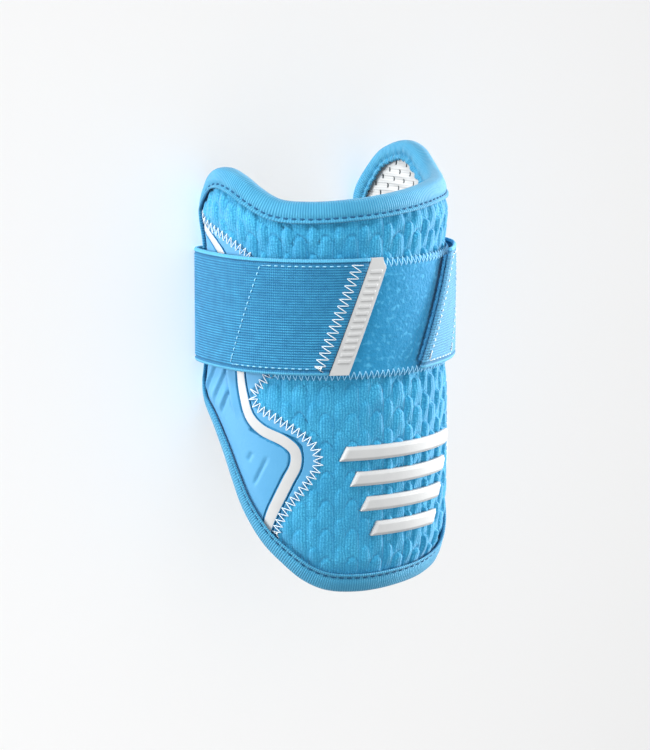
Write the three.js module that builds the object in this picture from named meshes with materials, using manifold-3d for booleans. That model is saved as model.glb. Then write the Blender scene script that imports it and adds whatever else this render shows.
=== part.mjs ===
// Baseball elbow guard, lying on its strap with the arm opening underneath.
// A padded shell wraps about two thirds of the elbow. It is cut flat, edged with a folded tape and held
// round the arm by an elastic strap whose two ends grip a loop band on the outside.
// Units are millimetres. +X is across the guard, +Y runs along the arm to its upper end and +Z is up.

import * as THREE from "three";
import { mergeVertices } from "three/addons/utils/BufferGeometryUtils.js";
import Module from "manifold-3d";

const wasm = await Module();
wasm.setup();

// The form that the pattern is wrapped round: an oval tube along the arm
const formHalfWidth = 55.5;
const formHalfHeight = 53.5;
const guardLength = 186;
const halfWrap = 118; // arc from the crown to each free edge
const flare = 1.4; // how far each free edge opens outwards from the oval

// Padding, lining and the thinner rim that the edge tape folds over
const padThickness = 7.5;
const liningThickness = 1.5;
const rimDropOutside = 4;
const rimDropInside = 1.4;
const rimReach = 16;
const clearance = 0.3;

// Edge tape
const tapeThickness = 1.1;
const tapeReach = 8.2;
const tapeRounding = 2.4;
const tapeSlack = 0.6; // room between the tape and what it folds over

// Elastic strap, the loop band it grips, its hook patches and the pull tab at its end
const strapWidth = 49;
const strapThickness = 1.6;
const strapLevel = 0.645; // centre line, as a share of the guard's length
const strapPinch = 2.6; // how far the strap draws each free edge in
const strapSqueeze = 1.2; // how far it presses the padding in
const strapFade = 16; // how far beside the strap both die out
const strapBend = 5; // height over which the strap rounds down on to its flat stretch
const hookThickness = 1.0;
const hookMargin = 3;
const loopThickness = 1.2;
const loopWidth = 49.5;
const loopDrop = 2; // how far the band shows below the strap
const tabWidth = 8;
const tabThickness = 2.4;
const tabUnderside = 0.9; // gap between the tab and the loop band, which a finger nail lifts

// Inlaid stripe on each side pad
const stripeWidth = 4.4;
const stripeThickness = 1.0;

// Raised ribs on the front of the mesh pad
const ribHeight = 6;
const ribPitch = 11;
const ribThickness = 1.8;
const longestRib = 62;
const ribStep = 9;
const ribLean = 3;
const ribLengths = [0, 1, 2, 3].map((step) => longestRib - step * ribStep);
const ribLevel = 0.33; // top rib's centre line, as a share of the guard's length

// Edge of the flat pattern, counter-clockwise from the left free edge.
// turn is a share of halfWrap, and rise a share of guardLength from the lower lip.
const outlineRows = [
  { turn: -1, rise: 0.846 },
  { turn: -1, rise: 0.497 },
  { turn: -0.988, rise: 0.453 },
  { turn: -0.934, rise: 0.403 },
  { turn: -0.861, rise: 0.366 },
  { turn: -0.791, rise: 0.31 },
  { turn: -0.735, rise: 0.249 },
  { turn: -0.678, rise: 0.186 },
  { turn: -0.584, rise: 0.113 },
  { turn: -0.501, rise: 0.069 },
  { turn: -0.417, rise: 0.031 },
  { turn: -0.328, rise: 0.008 },
  { turn: -0.197, rise: 0 },
  { turn: -0.02, rise: 0.005 },
  { turn: 0.147, rise: 0.016 },
  { turn: 0.275, rise: 0.034 },
  { turn: 0.374, rise: 0.068 },
  { turn: 0.482, rise: 0.118 },
  { turn: 0.59, rise: 0.175 },
  { turn: 0.688, rise: 0.241 },
  { turn: 0.777, rise: 0.303 },
  { turn: 0.865, rise: 0.362 },
  { turn: 0.934, rise: 0.406 },
  { turn: 0.988, rise: 0.453 },
  { turn: 1, rise: 0.497 },
  { turn: 1, rise: 0.826 },
  { turn: 0.984, rise: 0.88 },
  { turn: 0.93, rise: 0.932 },
  { turn: 0.87, rise: 0.97 },
  { turn: 0.82, rise: 0.986 },
  { turn: 0.755, rise: 0.998 },
  { turn: 0.69, rise: 1 },
  { turn: 0.62, rise: 0.988 },
  { turn: 0.55, rise: 0.963 },
  { turn: 0.48, rise: 0.945 },
  { turn: 0.37, rise: 0.935 },
  { turn: 0.197, rise: 0.93 },
  { turn: 0, rise: 0.918 },
  { turn: -0.197, rise: 0.907 },
  { turn: -0.393, rise: 0.901 },
  { turn: -0.511, rise: 0.906 },
  { turn: -0.6, rise: 0.929 },
  { turn: -0.678, rise: 0.953 },
  { turn: -0.767, rise: 0.968 },
  { turn: -0.855, rise: 0.961 },
  { turn: -0.934, rise: 0.927 },
  { turn: -0.99, rise: 0.885 },
];

// Border between a side pad and the mesh pad, from below the lower edge to the free edge
const borderRows = [
  { turn: 0.551, rise: -0.059 },
  { turn: 0.539, rise: 0.059 },
  { turn: 0.521, rise: 0.124 },
  { turn: 0.473, rise: 0.194 },
  { turn: 0.396, rise: 0.258 },
  { turn: 0.352, rise: 0.306 },
  { turn: 0.36, rise: 0.341 },
  { turn: 0.404, rise: 0.371 },
  { turn: 0.505, rise: 0.408 },
  { turn: 0.582, rise: 0.434 },
  { turn: 0.604, rise: 0.459 },
  { turn: 0.565, rise: 0.489 },
  { turn: 0.501, rise: 0.557 },
  { turn: 0.511, rise: 0.656 },
  { turn: 0.59, rise: 0.756 },
  { turn: 0.725, rise: 0.808 },
  { turn: 0.855, rise: 0.836 },
  { turn: 1, rise: 0.885 },
  { turn: 1.131, rise: 0.945 },
];

// Centre line of the stripe on a side pad
const stripeRows = [
  { turn: 0.562, rise: 0.137 },
  { turn: 0.517, rise: 0.196 },
  { turn: 0.462, rise: 0.266 },
  { turn: 0.433, rise: 0.304 },
  { turn: 0.435, rise: 0.336 },
  { turn: 0.474, rise: 0.358 },
  { turn: 0.565, rise: 0.382 },
  { turn: 0.613, rise: 0.408 },
  { turn: 0.639, rise: 0.448 },
  { turn: 0.662, rise: 0.5 },
  { turn: 0.668, rise: 0.597 },
  { turn: 0.688, rise: 0.686 },
  { turn: 0.757, rise: 0.766 },
  { turn: 0.816, rise: 0.798 },
  { turn: 0.885, rise: 0.828 },
];

// Where pieces start and end round the arm, as shares of halfWrap. The strap runs on past the opening.
const loopStart = -0.53;
const loopFinish = 0.82;
const sideEnd = { bottom: 0.03, top: 0.225 };
const frontEnd = { bottom: -0.317, top: -0.17 };
const frontPatchStart = { bottom: -0.69, top: -0.54 };
const sidePatchLength = 26;
const sidePatchPeek = 2; // width of hook tape that shows past the strap's side end
const sideEndLift = 1.1; // how far the side end stands off the loop band
const sideEndCurl = 14; // length over which it does

// Height of the strap over the padding. place runs round the arm in shares of halfWrap.
const overHooks = clearance + loopThickness + clearance + hookThickness + clearance;
const overLoop = clearance + loopThickness + clearance;
const overTape = tapeThickness + tapeSlack;
const wholeTurn = (2 * Math.PI * Math.sqrt((formHalfWidth ** 2 + formHalfHeight ** 2) / 2)) / halfWrap;
const liftRows = [
  { place: sideEnd.bottom, lift: overHooks },
  { place: 0.44, lift: overHooks },
  { place: 0.58, lift: overLoop },
  { place: loopFinish, lift: overLoop },
  { place: 0.9, lift: overTape },
  { place: wholeTurn - 0.86, lift: overTape },
  { place: wholeTurn - 0.56, lift: overHooks },
  { place: wholeTurn + frontEnd.top, lift: overHooks },
];

const shellThickness = padThickness + clearance + liningThickness;
const millimetresPerRadian = Math.sqrt((formHalfWidth ** 2 + formHalfHeight ** 2) / 2);
const strapCentre = strapLevel * guardLength;

const lerp = THREE.MathUtils.lerp;

// 0 at or below 0, 1 at or above 1, with level ends
function ease(share) {
  return THREE.MathUtils.smoothstep(share, 0, 1);
}

// The larger of two heights, rounded over a stretch where they are close
function softMax(a, b, stretch) {
  const near = Math.max(stretch - Math.abs(a - b), 0) / stretch;
  return Math.max(a, b) + (near * near * stretch) / 4;
}

// A value read from rows of places and lifts, eased between them
function liftAt(place) {
  const next = liftRows.findIndex((row) => row.place > place);
  if (next === 0) return liftRows[0].lift;
  if (next < 0) return liftRows[liftRows.length - 1].lift;
  const from = liftRows[next - 1];
  const to = liftRows[next];
  return lerp(from.lift, to.lift, ease((place - from.place) / (to.place - from.place)));
}

// A smooth curve in the flat pattern through rows of shares. side is -1 for the left and 1 for the right.
function patternCurve(rows, closed, side = 1) {
  const points = rows.map((row) => new THREE.Vector3(side * row.turn * halfWrap, row.rise * guardLength, 0));
  return new THREE.CatmullRomCurve3(points, closed, "centripetal");
}

// Points of a pattern curve, each with the direction across it, to the left of its run
function stations(curve, count) {
  return Array.from({ length: count + 1 }, (_, i) => {
    const point = curve.getPointAt(i / count);
    const run = curve.getTangentAt(i / count);
    return { x: point.x, y: point.y, acrossX: -run.y, acrossY: run.x };
  });
}

const outline = patternCurve(outlineRows, true);
const outlineFine = stations(outline, 400);

// The outline drawn in by a distance
function insetOutline(inset) {
  return outlineFine.map((p) => ({ x: p.x + inset * p.acrossX, y: p.y + inset * p.acrossY }));
}

// Lowest and highest point of an outline at one place round the arm
function spanAt(loop, x) {
  const crossings = [];
  for (let i = 1; i < loop.length; i += 1) {
    const a = loop[i - 1];
    const b = loop[i];
    if ((a.x - x) * (b.x - x) <= 0 && a.x !== b.x) crossings.push(lerp(a.y, b.y, (x - a.x) / (b.x - a.x)));
  }
  return [Math.min(...crossings), Math.max(...crossings)];
}

// Distance from a pattern point to the guard's edge
function edgeDistance(x, y) {
  return Math.min(...outlineFine.map((p) => Math.hypot(p.x - x, p.y - y)));
}

// Depth of the padding's outer face and the lining's inner face, at a distance from the edge
function outsideDepth(distance) {
  return rimDropOutside * (1 - ease(distance / rimReach));
}

function insideDepth(distance) {
  return shellThickness - rimDropInside * (1 - ease(distance / rimReach));
}

// Height of the arm's axis over the floor: set once the rim's lowest point is known
let axisHeight = 0;

// 1 under the strap, dying out beside it
function underStrap(y) {
  return ease((strapWidth / 2 + strapFade - Math.abs(y - strapCentre)) / strapFade);
}

// A point of the oval at an angle from the crown and a depth inside it. Past the sides it opens outwards.
function ovalPoint(angle, y, depth) {
  const fromCrown = Math.acos(Math.cos(angle));
  const opening = flare * ease((fromCrown - Math.PI / 2) / (halfWrap / millimetresPerRadian - Math.PI / 2));
  return new THREE.Vector3(
    (formHalfWidth + opening - depth) * Math.sin(angle),
    y,
    axisHeight + (formHalfHeight - depth) * Math.cos(angle),
  );
}

// Wraps a pattern point round the form, at a depth below the outer face
function wrap(x, y, depth) {
  const outward = ease((Math.abs(x) / halfWrap - 0.72) / 0.25);
  const angle = (x - Math.sign(x) * strapPinch * underStrap(y) * outward) / millimetresPerRadian;
  return ovalPoint(angle, y, depth + strapSqueeze * underStrap(y));
}

// A box whose three shares, across, along and outward, are carried to their places by a function
function shapedBox(columns, rows, place) {
  const box = new THREE.BoxGeometry(1, 1, 1, columns, rows, 1);
  const corner = box.getAttribute("position");
  for (let i = 0; i < corner.count; i += 1) {
    const to = place(corner.getX(i) + 0.5, corner.getY(i) + 0.5, corner.getZ(i) + 0.5);
    corner.setXYZ(i, to.x, to.y, to.z);
  }
  return joined(box);
}

// A geometry with only its places, shared between its faces
function joined(geometry) {
  geometry.deleteAttribute("normal");
  geometry.deleteAttribute("uv");
  return mergeVertices(geometry, 1e-4);
}

function toSolid(geometry) {
  return new wasm.Manifold(
    new wasm.Mesh({
      numProp: 3,
      vertProperties: geometry.getAttribute("position").array,
      triVerts: new Uint32Array(geometry.index.array),
    }),
  );
}

function toGeometry(solid) {
  const mesh = solid.getMesh();
  const geometry = new THREE.BufferGeometry();
  geometry.setAttribute("position", new THREE.BufferAttribute(mesh.vertProperties, 3));
  geometry.setIndex(new THREE.BufferAttribute(mesh.triVerts, 1));
  return geometry;
}

// Shares that crowd towards both ends, where outlines turn
function crowded(share) {
  const reach = 0.38 * Math.PI;
  return 0.5 + (0.5 * Math.sin((2 * share - 1) * reach)) / Math.sin(reach);
}

// Levels along a span that fall on the strap's edges and crowd towards the span's ends
function spanLevels(low, high) {
  const strapLow = Math.max(strapCentre - strapWidth / 2, lerp(low, strapCentre, 0.1));
  const strapHigh = Math.min(strapCentre + strapWidth / 2, lerp(high, strapCentre, 0.1));
  const fadeLow = Math.max(strapLow - strapFade, lerp(low, strapLow, 0.6));
  const fadeHigh = Math.min(strapHigh + strapFade, lerp(high, strapHigh, 0.6));
  return [
    ...[0, 0.07, 0.17, 0.36, 0.66].map((share) => lerp(low, fadeLow, share)),
    fadeLow,
    strapLow,
    strapCentre,
    strapHigh,
    fadeHigh,
    ...[0.35, 0.7, 1].map((share) => lerp(fadeHigh, high, share)),
  ];
}

// A layer of the shell between two depths, cut to the outline drawn in by a distance
function layer(inset, outer, inner) {
  const columns = 38;
  const rows = 12;
  const loop = insetOutline(inset);
  const left = Math.min(...loop.map((p) => p.x)) * 0.9995;
  const right = Math.max(...loop.map((p) => p.x)) * 0.9995;
  return shapedBox(columns, rows, (across, along, outward) => {
    const x = lerp(left, right, crowded(across));
    const [low, high] = spanAt(loop, x);
    const y = spanLevels(low, high)[Math.round(along * rows)];
    const distance = edgeDistance(x, y);
    return wrap(x, y, lerp(inner(distance), outer(distance), outward));
  });
}

// The stretch of a stripe that the edge tape leaves bare
function stripeLine(side, steps) {
  const curve = patternCurve(stripeRows, false, side);
  const bare = stations(curve, 200).filter((p) => edgeDistance(p.x, p.y) > tapeReach + stripeWidth / 2);
  const points = bare.map((p) => new THREE.Vector3(p.x, p.y, 0));
  return stations(new THREE.CatmullRomCurve3(points), steps);
}

// A strip of even width along a side pad's stripe, between two heights over the padding's outer face.
// margin makes it larger all round.
function stripeStrip(side, margin, low, high) {
  const steps = 32;
  const line = stripeLine(side, steps);
  return shapedBox(1, steps, (across, along, outward) => {
    const p = line[Math.round(along * steps)];
    const aside = (0.5 - across) * (stripeWidth + 2 * margin);
    const beyond = (Math.floor(along) - Math.floor(1 - along)) * margin;
    const x = p.x + aside * p.acrossX + beyond * p.acrossY;
    const y = p.y + aside * p.acrossY - beyond * p.acrossX;
    return wrap(x, y, outsideDepth(edgeDistance(x, y)) - lerp(low, high, outward));
  });
}

// A block that covers one side pad, up to its border moved towards the crown
function sideBlock(side, growth) {
  const steps = 48;
  const line = stations(patternCurve(borderRows, false, side), steps);
  const beyond = side * halfWrap * 1.2;
  return shapedBox(6, steps, (across, along, outward) => {
    const p = line[Math.round(along * steps)];
    const border = p.x + side * growth * p.acrossX;
    const x = side < 0 ? lerp(beyond, border, across) : lerp(border, beyond, across);
    return wrap(x, p.y + side * growth * p.acrossY, lerp(2 * padThickness, -padThickness, outward));
  });
}

// Edge tape: a folded strip whose section is swept round the outline
const tapeFace = tapeSlack + tapeThickness;
const rimMiddle = (outsideDepth(0) + insideDepth(0)) / 2;
const tapeSection = [
  { inset: tapeReach, depth: outsideDepth(tapeReach) - tapeFace },
  { inset: tapeRounding, depth: outsideDepth(tapeRounding) - tapeFace },
  { inset: tapeRounding / 5, depth: lerp(outsideDepth(0), rimMiddle, 0.25) },
  { inset: 0, depth: rimMiddle },
  { inset: tapeRounding / 5, depth: lerp(insideDepth(0), rimMiddle, 0.25) },
  { inset: tapeRounding, depth: insideDepth(tapeRounding) + tapeFace },
  { inset: tapeReach, depth: insideDepth(tapeReach) + tapeFace },
  { inset: tapeReach, depth: insideDepth(tapeReach) + tapeSlack },
  { inset: tapeThickness, depth: insideDepth(tapeThickness) + tapeSlack },
  { inset: tapeThickness, depth: outsideDepth(tapeThickness) - tapeSlack },
  { inset: tapeReach, depth: outsideDepth(tapeReach) - tapeSlack },
];

function edgeTape() {
  const steps = 100;
  const line = stations(outline, steps);
  const ring = new THREE.TorusGeometry(2, 1, tapeSection.length, steps);
  const corner = ring.getAttribute("position");
  const share = ring.getAttribute("uv");
  for (let i = 0; i < corner.count; i += 1) {
    const p = line[Math.round(share.getX(i) * steps) % steps];
    const s = tapeSection[Math.round((1 - share.getY(i)) * tapeSection.length) % tapeSection.length];
    const to = wrap(p.x + s.inset * p.acrossX, p.y + s.inset * p.acrossY, s.depth);
    corner.setXYZ(i, to.x, to.y, to.z);
  }
  return joined(ring);
}

function lowestOf(geometry) {
  geometry.computeBoundingBox();
  return geometry.boundingBox.min.z;
}

axisHeight = -lowestOf(edgeTape());

// A point of the strap's path, at a height over the squeezed padding and never under its floor
function strapPoint(place, y, height, floor) {
  const point = ovalPoint((place * halfWrap) / millimetresPerRadian, y, strapSqueeze - height);
  point.z = softMax(point.z, floor, strapBend);
  return point;
}

// Where the strap's ends stand at a share of its width
const sideEndAt = (along) => lerp(sideEnd.bottom, sideEnd.top, along);
const frontEndAt = (along) => wholeTurn + lerp(frontEnd.bottom, frontEnd.top, along);

// Height of the strap's underside, with the side end standing off
function strapLift(place, along) {
  const fromEnd = (place - sideEndAt(along)) * halfWrap;
  return liftAt(place) + sideEndLift * ease(1 - fromEnd / sideEndCurl);
}

function strap() {
  const slantShare = 0.2; // share of the strap's length over which a slanted end squares up
  const sideMiddle = sideEndAt(0.5);
  const frontMiddle = frontEndAt(0.5);
  return shapedBox(60, 3, (across, along, outward) => {
    const sideSlant = (sideEndAt(along) - sideMiddle) * Math.max(0, 1 - across / slantShare);
    const frontSlant = (frontEndAt(along) - frontMiddle) * Math.max(0, 1 - (1 - across) / slantShare);
    const place = lerp(sideMiddle, frontMiddle, across) + sideSlant + frontSlant;
    const y = strapCentre + (along - 0.5) * strapWidth;
    const height = strapLift(place, along) + outward * strapThickness;
    return strapPoint(place, y, height, (1 - outward) * strapThickness);
  });
}

// A patch of hook tape under the strap, between two places that may slant
function hookPatch(columns, startAt, finishAt) {
  const margin = hookMargin / strapWidth;
  return shapedBox(columns, 3, (across, alongPatch, outward) => {
    const along = lerp(margin, 1 - margin, alongPatch);
    const place = lerp(startAt(along), finishAt(along), across);
    const y = strapCentre + (along - 0.5) * strapWidth;
    return strapPoint(place, y, strapLift(place, along) - clearance - (1 - outward) * hookThickness, 0);
  });
}

function pullTab() {
  return shapedBox(3, 4, (across, along, outward) => {
    const place = frontEndAt(along) + (clearance + across * tabWidth) / halfWrap;
    const y = strapCentre + (along - 0.5) * strapWidth;
    return strapPoint(place, y, overLoop + tabUnderside - clearance + outward * tabThickness, 0);
  });
}

function loopBand() {
  return shapedBox(40, 1, (across, along, outward) => {
    const x = lerp(loopStart, loopFinish, across) * halfWrap;
    const y = strapCentre - strapWidth / 2 - loopDrop + along * loopWidth;
    return wrap(x, y, -clearance - outward * loopThickness);
  });
}

function rib(index) {
  const length = ribLengths[index];
  return shapedBox(12, 1, (across, along, outward) => {
    const x = (across - 0.5) * length + (along - 0.5) * ribLean;
    const y = ribLevel * guardLength - index * ribPitch + (along - 0.5) * ribHeight;
    return wrap(x, y, -clearance - outward * ribThickness);
  });
}

// The padding is one layer, parted along the two borders and grooved for the stripes
const tapeSlot = tapeThickness + 3 * tapeSlack;
const padInner = (distance) => insideDepth(distance) - liningThickness - clearance;
const padding = toSolid(layer(tapeSlot, outsideDepth, padInner));

function sidePad(side) {
  const block = toSolid(sideBlock(side, -clearance / 2));
  const groove = toSolid(stripeStrip(side, clearance, -stripeThickness - clearance, padThickness));
  return toGeometry(padding.intersect(block).subtract(groove));
}

function meshPad() {
  const left = toSolid(sideBlock(-1, clearance / 2));
  const right = toSolid(sideBlock(1, clearance / 2));
  return toGeometry(padding.subtract(left).subtract(right));
}

function lining() {
  return layer(tapeSlot, (distance) => insideDepth(distance) - liningThickness, insideDepth);
}

// Cloth and rubber finishes
function finish(colour, roughness) {
  return new THREE.MeshStandardMaterial({ color: colour, roughness, metalness: 0 });
}

const knitBlue = finish(0x4fb3e8, 0.9);
const mouldedBlue = finish(0x66c1f5, 0.55);
const tapeBlue = finish(0x55b5ec, 0.7);
const elasticBlue = finish(0x3f9fd6, 0.85);
const plushBlue = finish(0x45a8df, 1.0);
const hookBlue = finish(0x1f6fa3, 0.8);
const rubberWhite = finish(0xe6e4e2, 0.5);
const liningWhite = finish(0xf2f2f2, 0.9);

const guard = new THREE.Group();

function add(name, geometry, material) {
  const mesh = new THREE.Mesh(geometry, material);
  mesh.name = name;
  guard.add(mesh);
}

add("mesh_pad", meshPad(), knitBlue);
add("side_pad_left", sidePad(-1), mouldedBlue);
add("side_pad_right", sidePad(1), mouldedBlue);
add("stripe_left", stripeStrip(-1, 0, -stripeThickness, 0), rubberWhite);
add("stripe_right", stripeStrip(1, 0, -stripeThickness, 0), rubberWhite);
add("lining", lining(), liningWhite);
add("edge_tape", edgeTape(), tapeBlue);
add("loop_band", loopBand(), plushBlue);
add("strap", strap(), elasticBlue);
add(
  "hook_patch_front",
  hookPatch(
    10,
    (along) => wholeTurn + lerp(frontPatchStart.bottom, frontPatchStart.top, along),
    (along) => frontEndAt(along) - clearance / halfWrap,
  ),
  hookBlue,
);
add(
  "hook_patch_side",
  hookPatch(
    6,
    (along) => sideEndAt(along) - sidePatchPeek / halfWrap,
    (along) => sideEndAt(along) + sidePatchLength / halfWrap,
  ),
  hookBlue,
);
add("pull_tab", pullTab(), rubberWhite);
ribLengths.forEach((_, index) => add("front_rib_" + (index + 1), rib(index), rubberWhite));

// The frame's origin is under the middle of the guard, on the floor
const extent = new THREE.Box3().setFromObject(guard);
const middle = extent.getCenter(new THREE.Vector3());
guard.position.set(-middle.x, -middle.y, 0);

export default guard;
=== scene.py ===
# %% [markdown]
# # A padded elbow guard for a batter
#
# The real guard is a flat pattern of foam, knitted cloth and moulded film, bound with a folded tape and
# bent round the elbow by an elastic strap. Each piece here is drawn the same way: as a flat pattern, in
# millimetres, that one function wraps round the arm. So seams, stitches and weave all follow the cloth.

# %% Load the fixed frame
import math

import bmesh
import bpy
import numpy as np
from mathutils import Matrix, Vector
from mathutils.kdtree import KDTree


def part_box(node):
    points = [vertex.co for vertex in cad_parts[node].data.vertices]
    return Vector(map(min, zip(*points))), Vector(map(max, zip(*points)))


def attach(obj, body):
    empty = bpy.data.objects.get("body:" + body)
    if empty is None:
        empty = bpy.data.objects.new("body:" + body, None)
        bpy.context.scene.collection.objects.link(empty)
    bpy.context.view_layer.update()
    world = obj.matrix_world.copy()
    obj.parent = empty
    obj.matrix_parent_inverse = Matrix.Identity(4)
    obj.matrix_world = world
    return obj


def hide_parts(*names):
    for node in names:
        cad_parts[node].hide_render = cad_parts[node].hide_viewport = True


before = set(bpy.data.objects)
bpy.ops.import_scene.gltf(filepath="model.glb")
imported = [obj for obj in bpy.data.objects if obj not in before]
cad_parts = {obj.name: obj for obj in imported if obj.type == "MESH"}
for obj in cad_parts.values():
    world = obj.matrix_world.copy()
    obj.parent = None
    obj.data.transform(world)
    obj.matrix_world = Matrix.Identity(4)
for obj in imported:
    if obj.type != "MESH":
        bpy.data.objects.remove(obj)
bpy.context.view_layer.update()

print("frame loaded with", len(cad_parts), "nodes")

# %% [markdown]
# ## Sizes
#
# These are the sizes that the guard is cut and folded to. Turns are shares of the arc from the crown of
# the elbow to a free edge, and rises are shares of the guard's length, so a table of them reads like a
# paper pattern. The frame says where the pattern's middle lies: the top rib sits at a known place on it.

# %% Sizes in millimetres
MM = 0.001
FORM_HALF_WIDTH = 55.5
FORM_HALF_HEIGHT = 53.5
GUARD_LENGTH = 186
HALF_WRAP = 118
FLARE = 1.4
PAD_THICKNESS = 7.5
LINING_THICKNESS = 1.5
CLEARANCE = 0.3
RIM_DROP_OUTSIDE = 4
RIM_DROP_INSIDE = 1.4
RIM_REACH = 16
TAPE_THICKNESS = 1.1
TAPE_REACH = 8.2
TAPE_SLACK = 0.6
STRAP_WIDTH = 49
STRAP_THICKNESS = 1.6
STRAP_CENTRE = 0.645 * GUARD_LENGTH
STRAP_PINCH = 2.6
STRAP_SQUEEZE = 1.2
STRAP_FADE = 16
STRAP_BEND = 5
HOOK_THICKNESS = 1.0
LOOP_THICKNESS = 1.2
RIB_HEIGHT = 6
RIB_THICKNESS = 1.8
RIB_LEVEL = 0.33 * GUARD_LENGTH
SHELL_THICKNESS = PAD_THICKNESS + CLEARANCE + LINING_THICKNESS
MM_PER_RADIAN = math.sqrt((FORM_HALF_WIDTH**2 + FORM_HALF_HEIGHT**2) / 2)
WHOLE_TURN = 2 * math.pi * MM_PER_RADIAN / HALF_WRAP

rib_low, rib_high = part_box("front_rib_1")
MIDDLE_X = (rib_low[0] + rib_high[0]) / 2 / MM
LIP_Y = (rib_low[1] + rib_high[1]) / 2 / MM - RIB_LEVEL
AXIS_HEIGHT = rib_high[2] / MM - FORM_HALF_HEIGHT - CLEARANCE - RIB_THICKNESS
print("pattern middle %.2f, lower lip %.2f, arm axis %.2f mm" % (MIDDLE_X, LIP_Y, AXIS_HEIGHT))

# %% Edge of the flat pattern, from the left free edge down and round
OUTLINE = [
    (-1, 0.846), (-1, 0.497), (-0.988, 0.453), (-0.934, 0.403), (-0.861, 0.366), (-0.791, 0.31),
    (-0.735, 0.249), (-0.678, 0.186), (-0.584, 0.113), (-0.501, 0.069), (-0.417, 0.031),
    (-0.328, 0.008), (-0.197, 0), (-0.02, 0.005), (0.147, 0.016), (0.275, 0.034), (0.374, 0.068),
    (0.482, 0.118), (0.59, 0.175), (0.688, 0.241), (0.777, 0.303), (0.865, 0.362), (0.934, 0.406),
    (0.988, 0.453), (1, 0.497), (1, 0.826), (0.984, 0.88), (0.93, 0.932), (0.87, 0.97), (0.82, 0.986),
    (0.755, 0.998), (0.69, 1), (0.62, 0.988), (0.55, 0.963), (0.48, 0.945), (0.37, 0.935),
    (0.197, 0.93), (0, 0.918), (-0.197, 0.907), (-0.393, 0.901), (-0.511, 0.906), (-0.6, 0.929),
    (-0.678, 0.953), (-0.767, 0.968), (-0.855, 0.961), (-0.934, 0.927), (-0.99, 0.885),
]

# %% Border between a side pad and the mesh pad, and the centre line of a side pad's stripe
BORDER = [
    (0.551, -0.059), (0.539, 0.059), (0.521, 0.124), (0.473, 0.194), (0.396, 0.258), (0.352, 0.306),
    (0.36, 0.341), (0.404, 0.371), (0.505, 0.408), (0.582, 0.434), (0.604, 0.459), (0.565, 0.489),
    (0.501, 0.557), (0.511, 0.656), (0.59, 0.756), (0.725, 0.808), (0.855, 0.836), (1, 0.885),
    (1.131, 0.945),
]
STRIPE = [
    (0.562, 0.137), (0.517, 0.196), (0.462, 0.266), (0.433, 0.304), (0.435, 0.336), (0.474, 0.358),
    (0.565, 0.382), (0.613, 0.408), (0.639, 0.448), (0.662, 0.5), (0.668, 0.597), (0.688, 0.686),
    (0.757, 0.766), (0.816, 0.798), (0.885, 0.828),
]

# %% [markdown]
# ## Curves on the pattern
#
# A cutter draws these edges with a flexible spline through a few marks. A centripetal Catmull-Rom curve
# does the same: it passes through every mark and never loops between close ones.

# %% A smooth curve through a table of marks, at even steps
def lengths_along(line):
    """The length of a line from its start up to each of its points."""
    return np.concatenate([[0], np.cumsum(np.linalg.norm(np.diff(line, axis=0), axis=1))])


def read_line(line, ways, at):
    """Points on a line at some values of a measure that is known at each of its points."""
    return np.stack([np.interp(at, ways, line[:, axis]) for axis in (0, 1)], axis=-1)


def evenly(line, count):
    """The same line with count + 1 points at even steps of its length."""
    run = lengths_along(line)
    return read_line(line, run, np.linspace(0, run[-1], count + 1))


def pattern_curve(rows, closed=False, side=1, count=1600):
    marks = np.array(rows, float) * (side * HALF_WRAP, GUARD_LENGTH)
    if closed:
        marks = np.vstack([marks[-1:], marks, marks[:2]])
    else:
        marks = np.vstack([2 * marks[0] - marks[1], marks, 2 * marks[-1] - marks[-2]])
    share = np.linspace(0, 1, 30, endpoint=False)[:, None]
    line = []
    for a, b, c, d in zip(marks, marks[1:], marks[2:], marks[3:]):
        before, here, after = (math.sqrt(np.linalg.norm(q - p)) for p, q in ((a, b), (b, c), (c, d)))
        leave = ((b - a) / before - (c - a) / (before + here) + (c - b) / here) * here
        arrive = ((c - b) / here - (d - b) / (here + after) + (d - c) / after) * here
        square = 3 * (c - b) - 2 * leave - arrive
        cube = 2 * (b - c) + leave + arrive
        line.append(b + leave * share + square * share**2 + cube * share**3)
    line.append(marks[-2:-1])
    return evenly(np.vstack(line), count)


def across_of(line):
    """The direction to the left of a line's run, at each of its points."""
    run = np.gradient(line, axis=0)
    run /= np.linalg.norm(run, axis=1, keepdims=True)
    return np.stack([-run[:, 1], run[:, 0]], axis=1)


OUTLINE_STEPS = 2400
outline = pattern_curve(OUTLINE, closed=True, count=OUTLINE_STEPS)
outline_across = across_of(outline)
SIDE_NAMES = {-1: "left", 1: "right"}
borders = {side: pattern_curve(BORDER, side=side) for side in SIDE_NAMES}
stripe_lines = {side: pattern_curve(STRIPE, side=side) for side in SIDE_NAMES}
outline_length = lengths_along(outline)[-1]
print("outline %.0f mm long" % outline_length)

# %% Distance from pattern points to a line
def nearness(*lines):
    """A function that gives each pattern point's distance to the nearest point of some lines."""
    marks = np.vstack(lines)
    tree = KDTree(len(marks))
    for index, (x, y) in enumerate(marks):
        tree.insert((x, y, 0), index)
    tree.balance()
    return lambda x, y: np.array([tree.find((a, b, 0))[2] for a, b in zip(np.ravel(x), np.ravel(y))])


edge_distance = nearness(outline)
border_distance = nearness(borders[-1], borders[1])
stripe_distance = nearness(stripe_lines[-1], stripe_lines[1])

# %% [markdown]
# ## Wrapping the pattern round the arm
#
# The arm is an oval tube. A pattern point keeps its arc from the crown and its level along the arm, and a
# depth says how far under the guard's outer face it lies. The strap pinches the free edges in and presses
# the padding down, and both die out softly beside it.

# %% Soft steps and the form's depths
def ease(share):
    """0 at or below 0, 1 at or above 1, with level ends."""
    held = np.clip(share, 0, 1)
    return held * held * (3 - 2 * held)


def mix(a, b, share):
    return a + (b - a) * share


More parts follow.
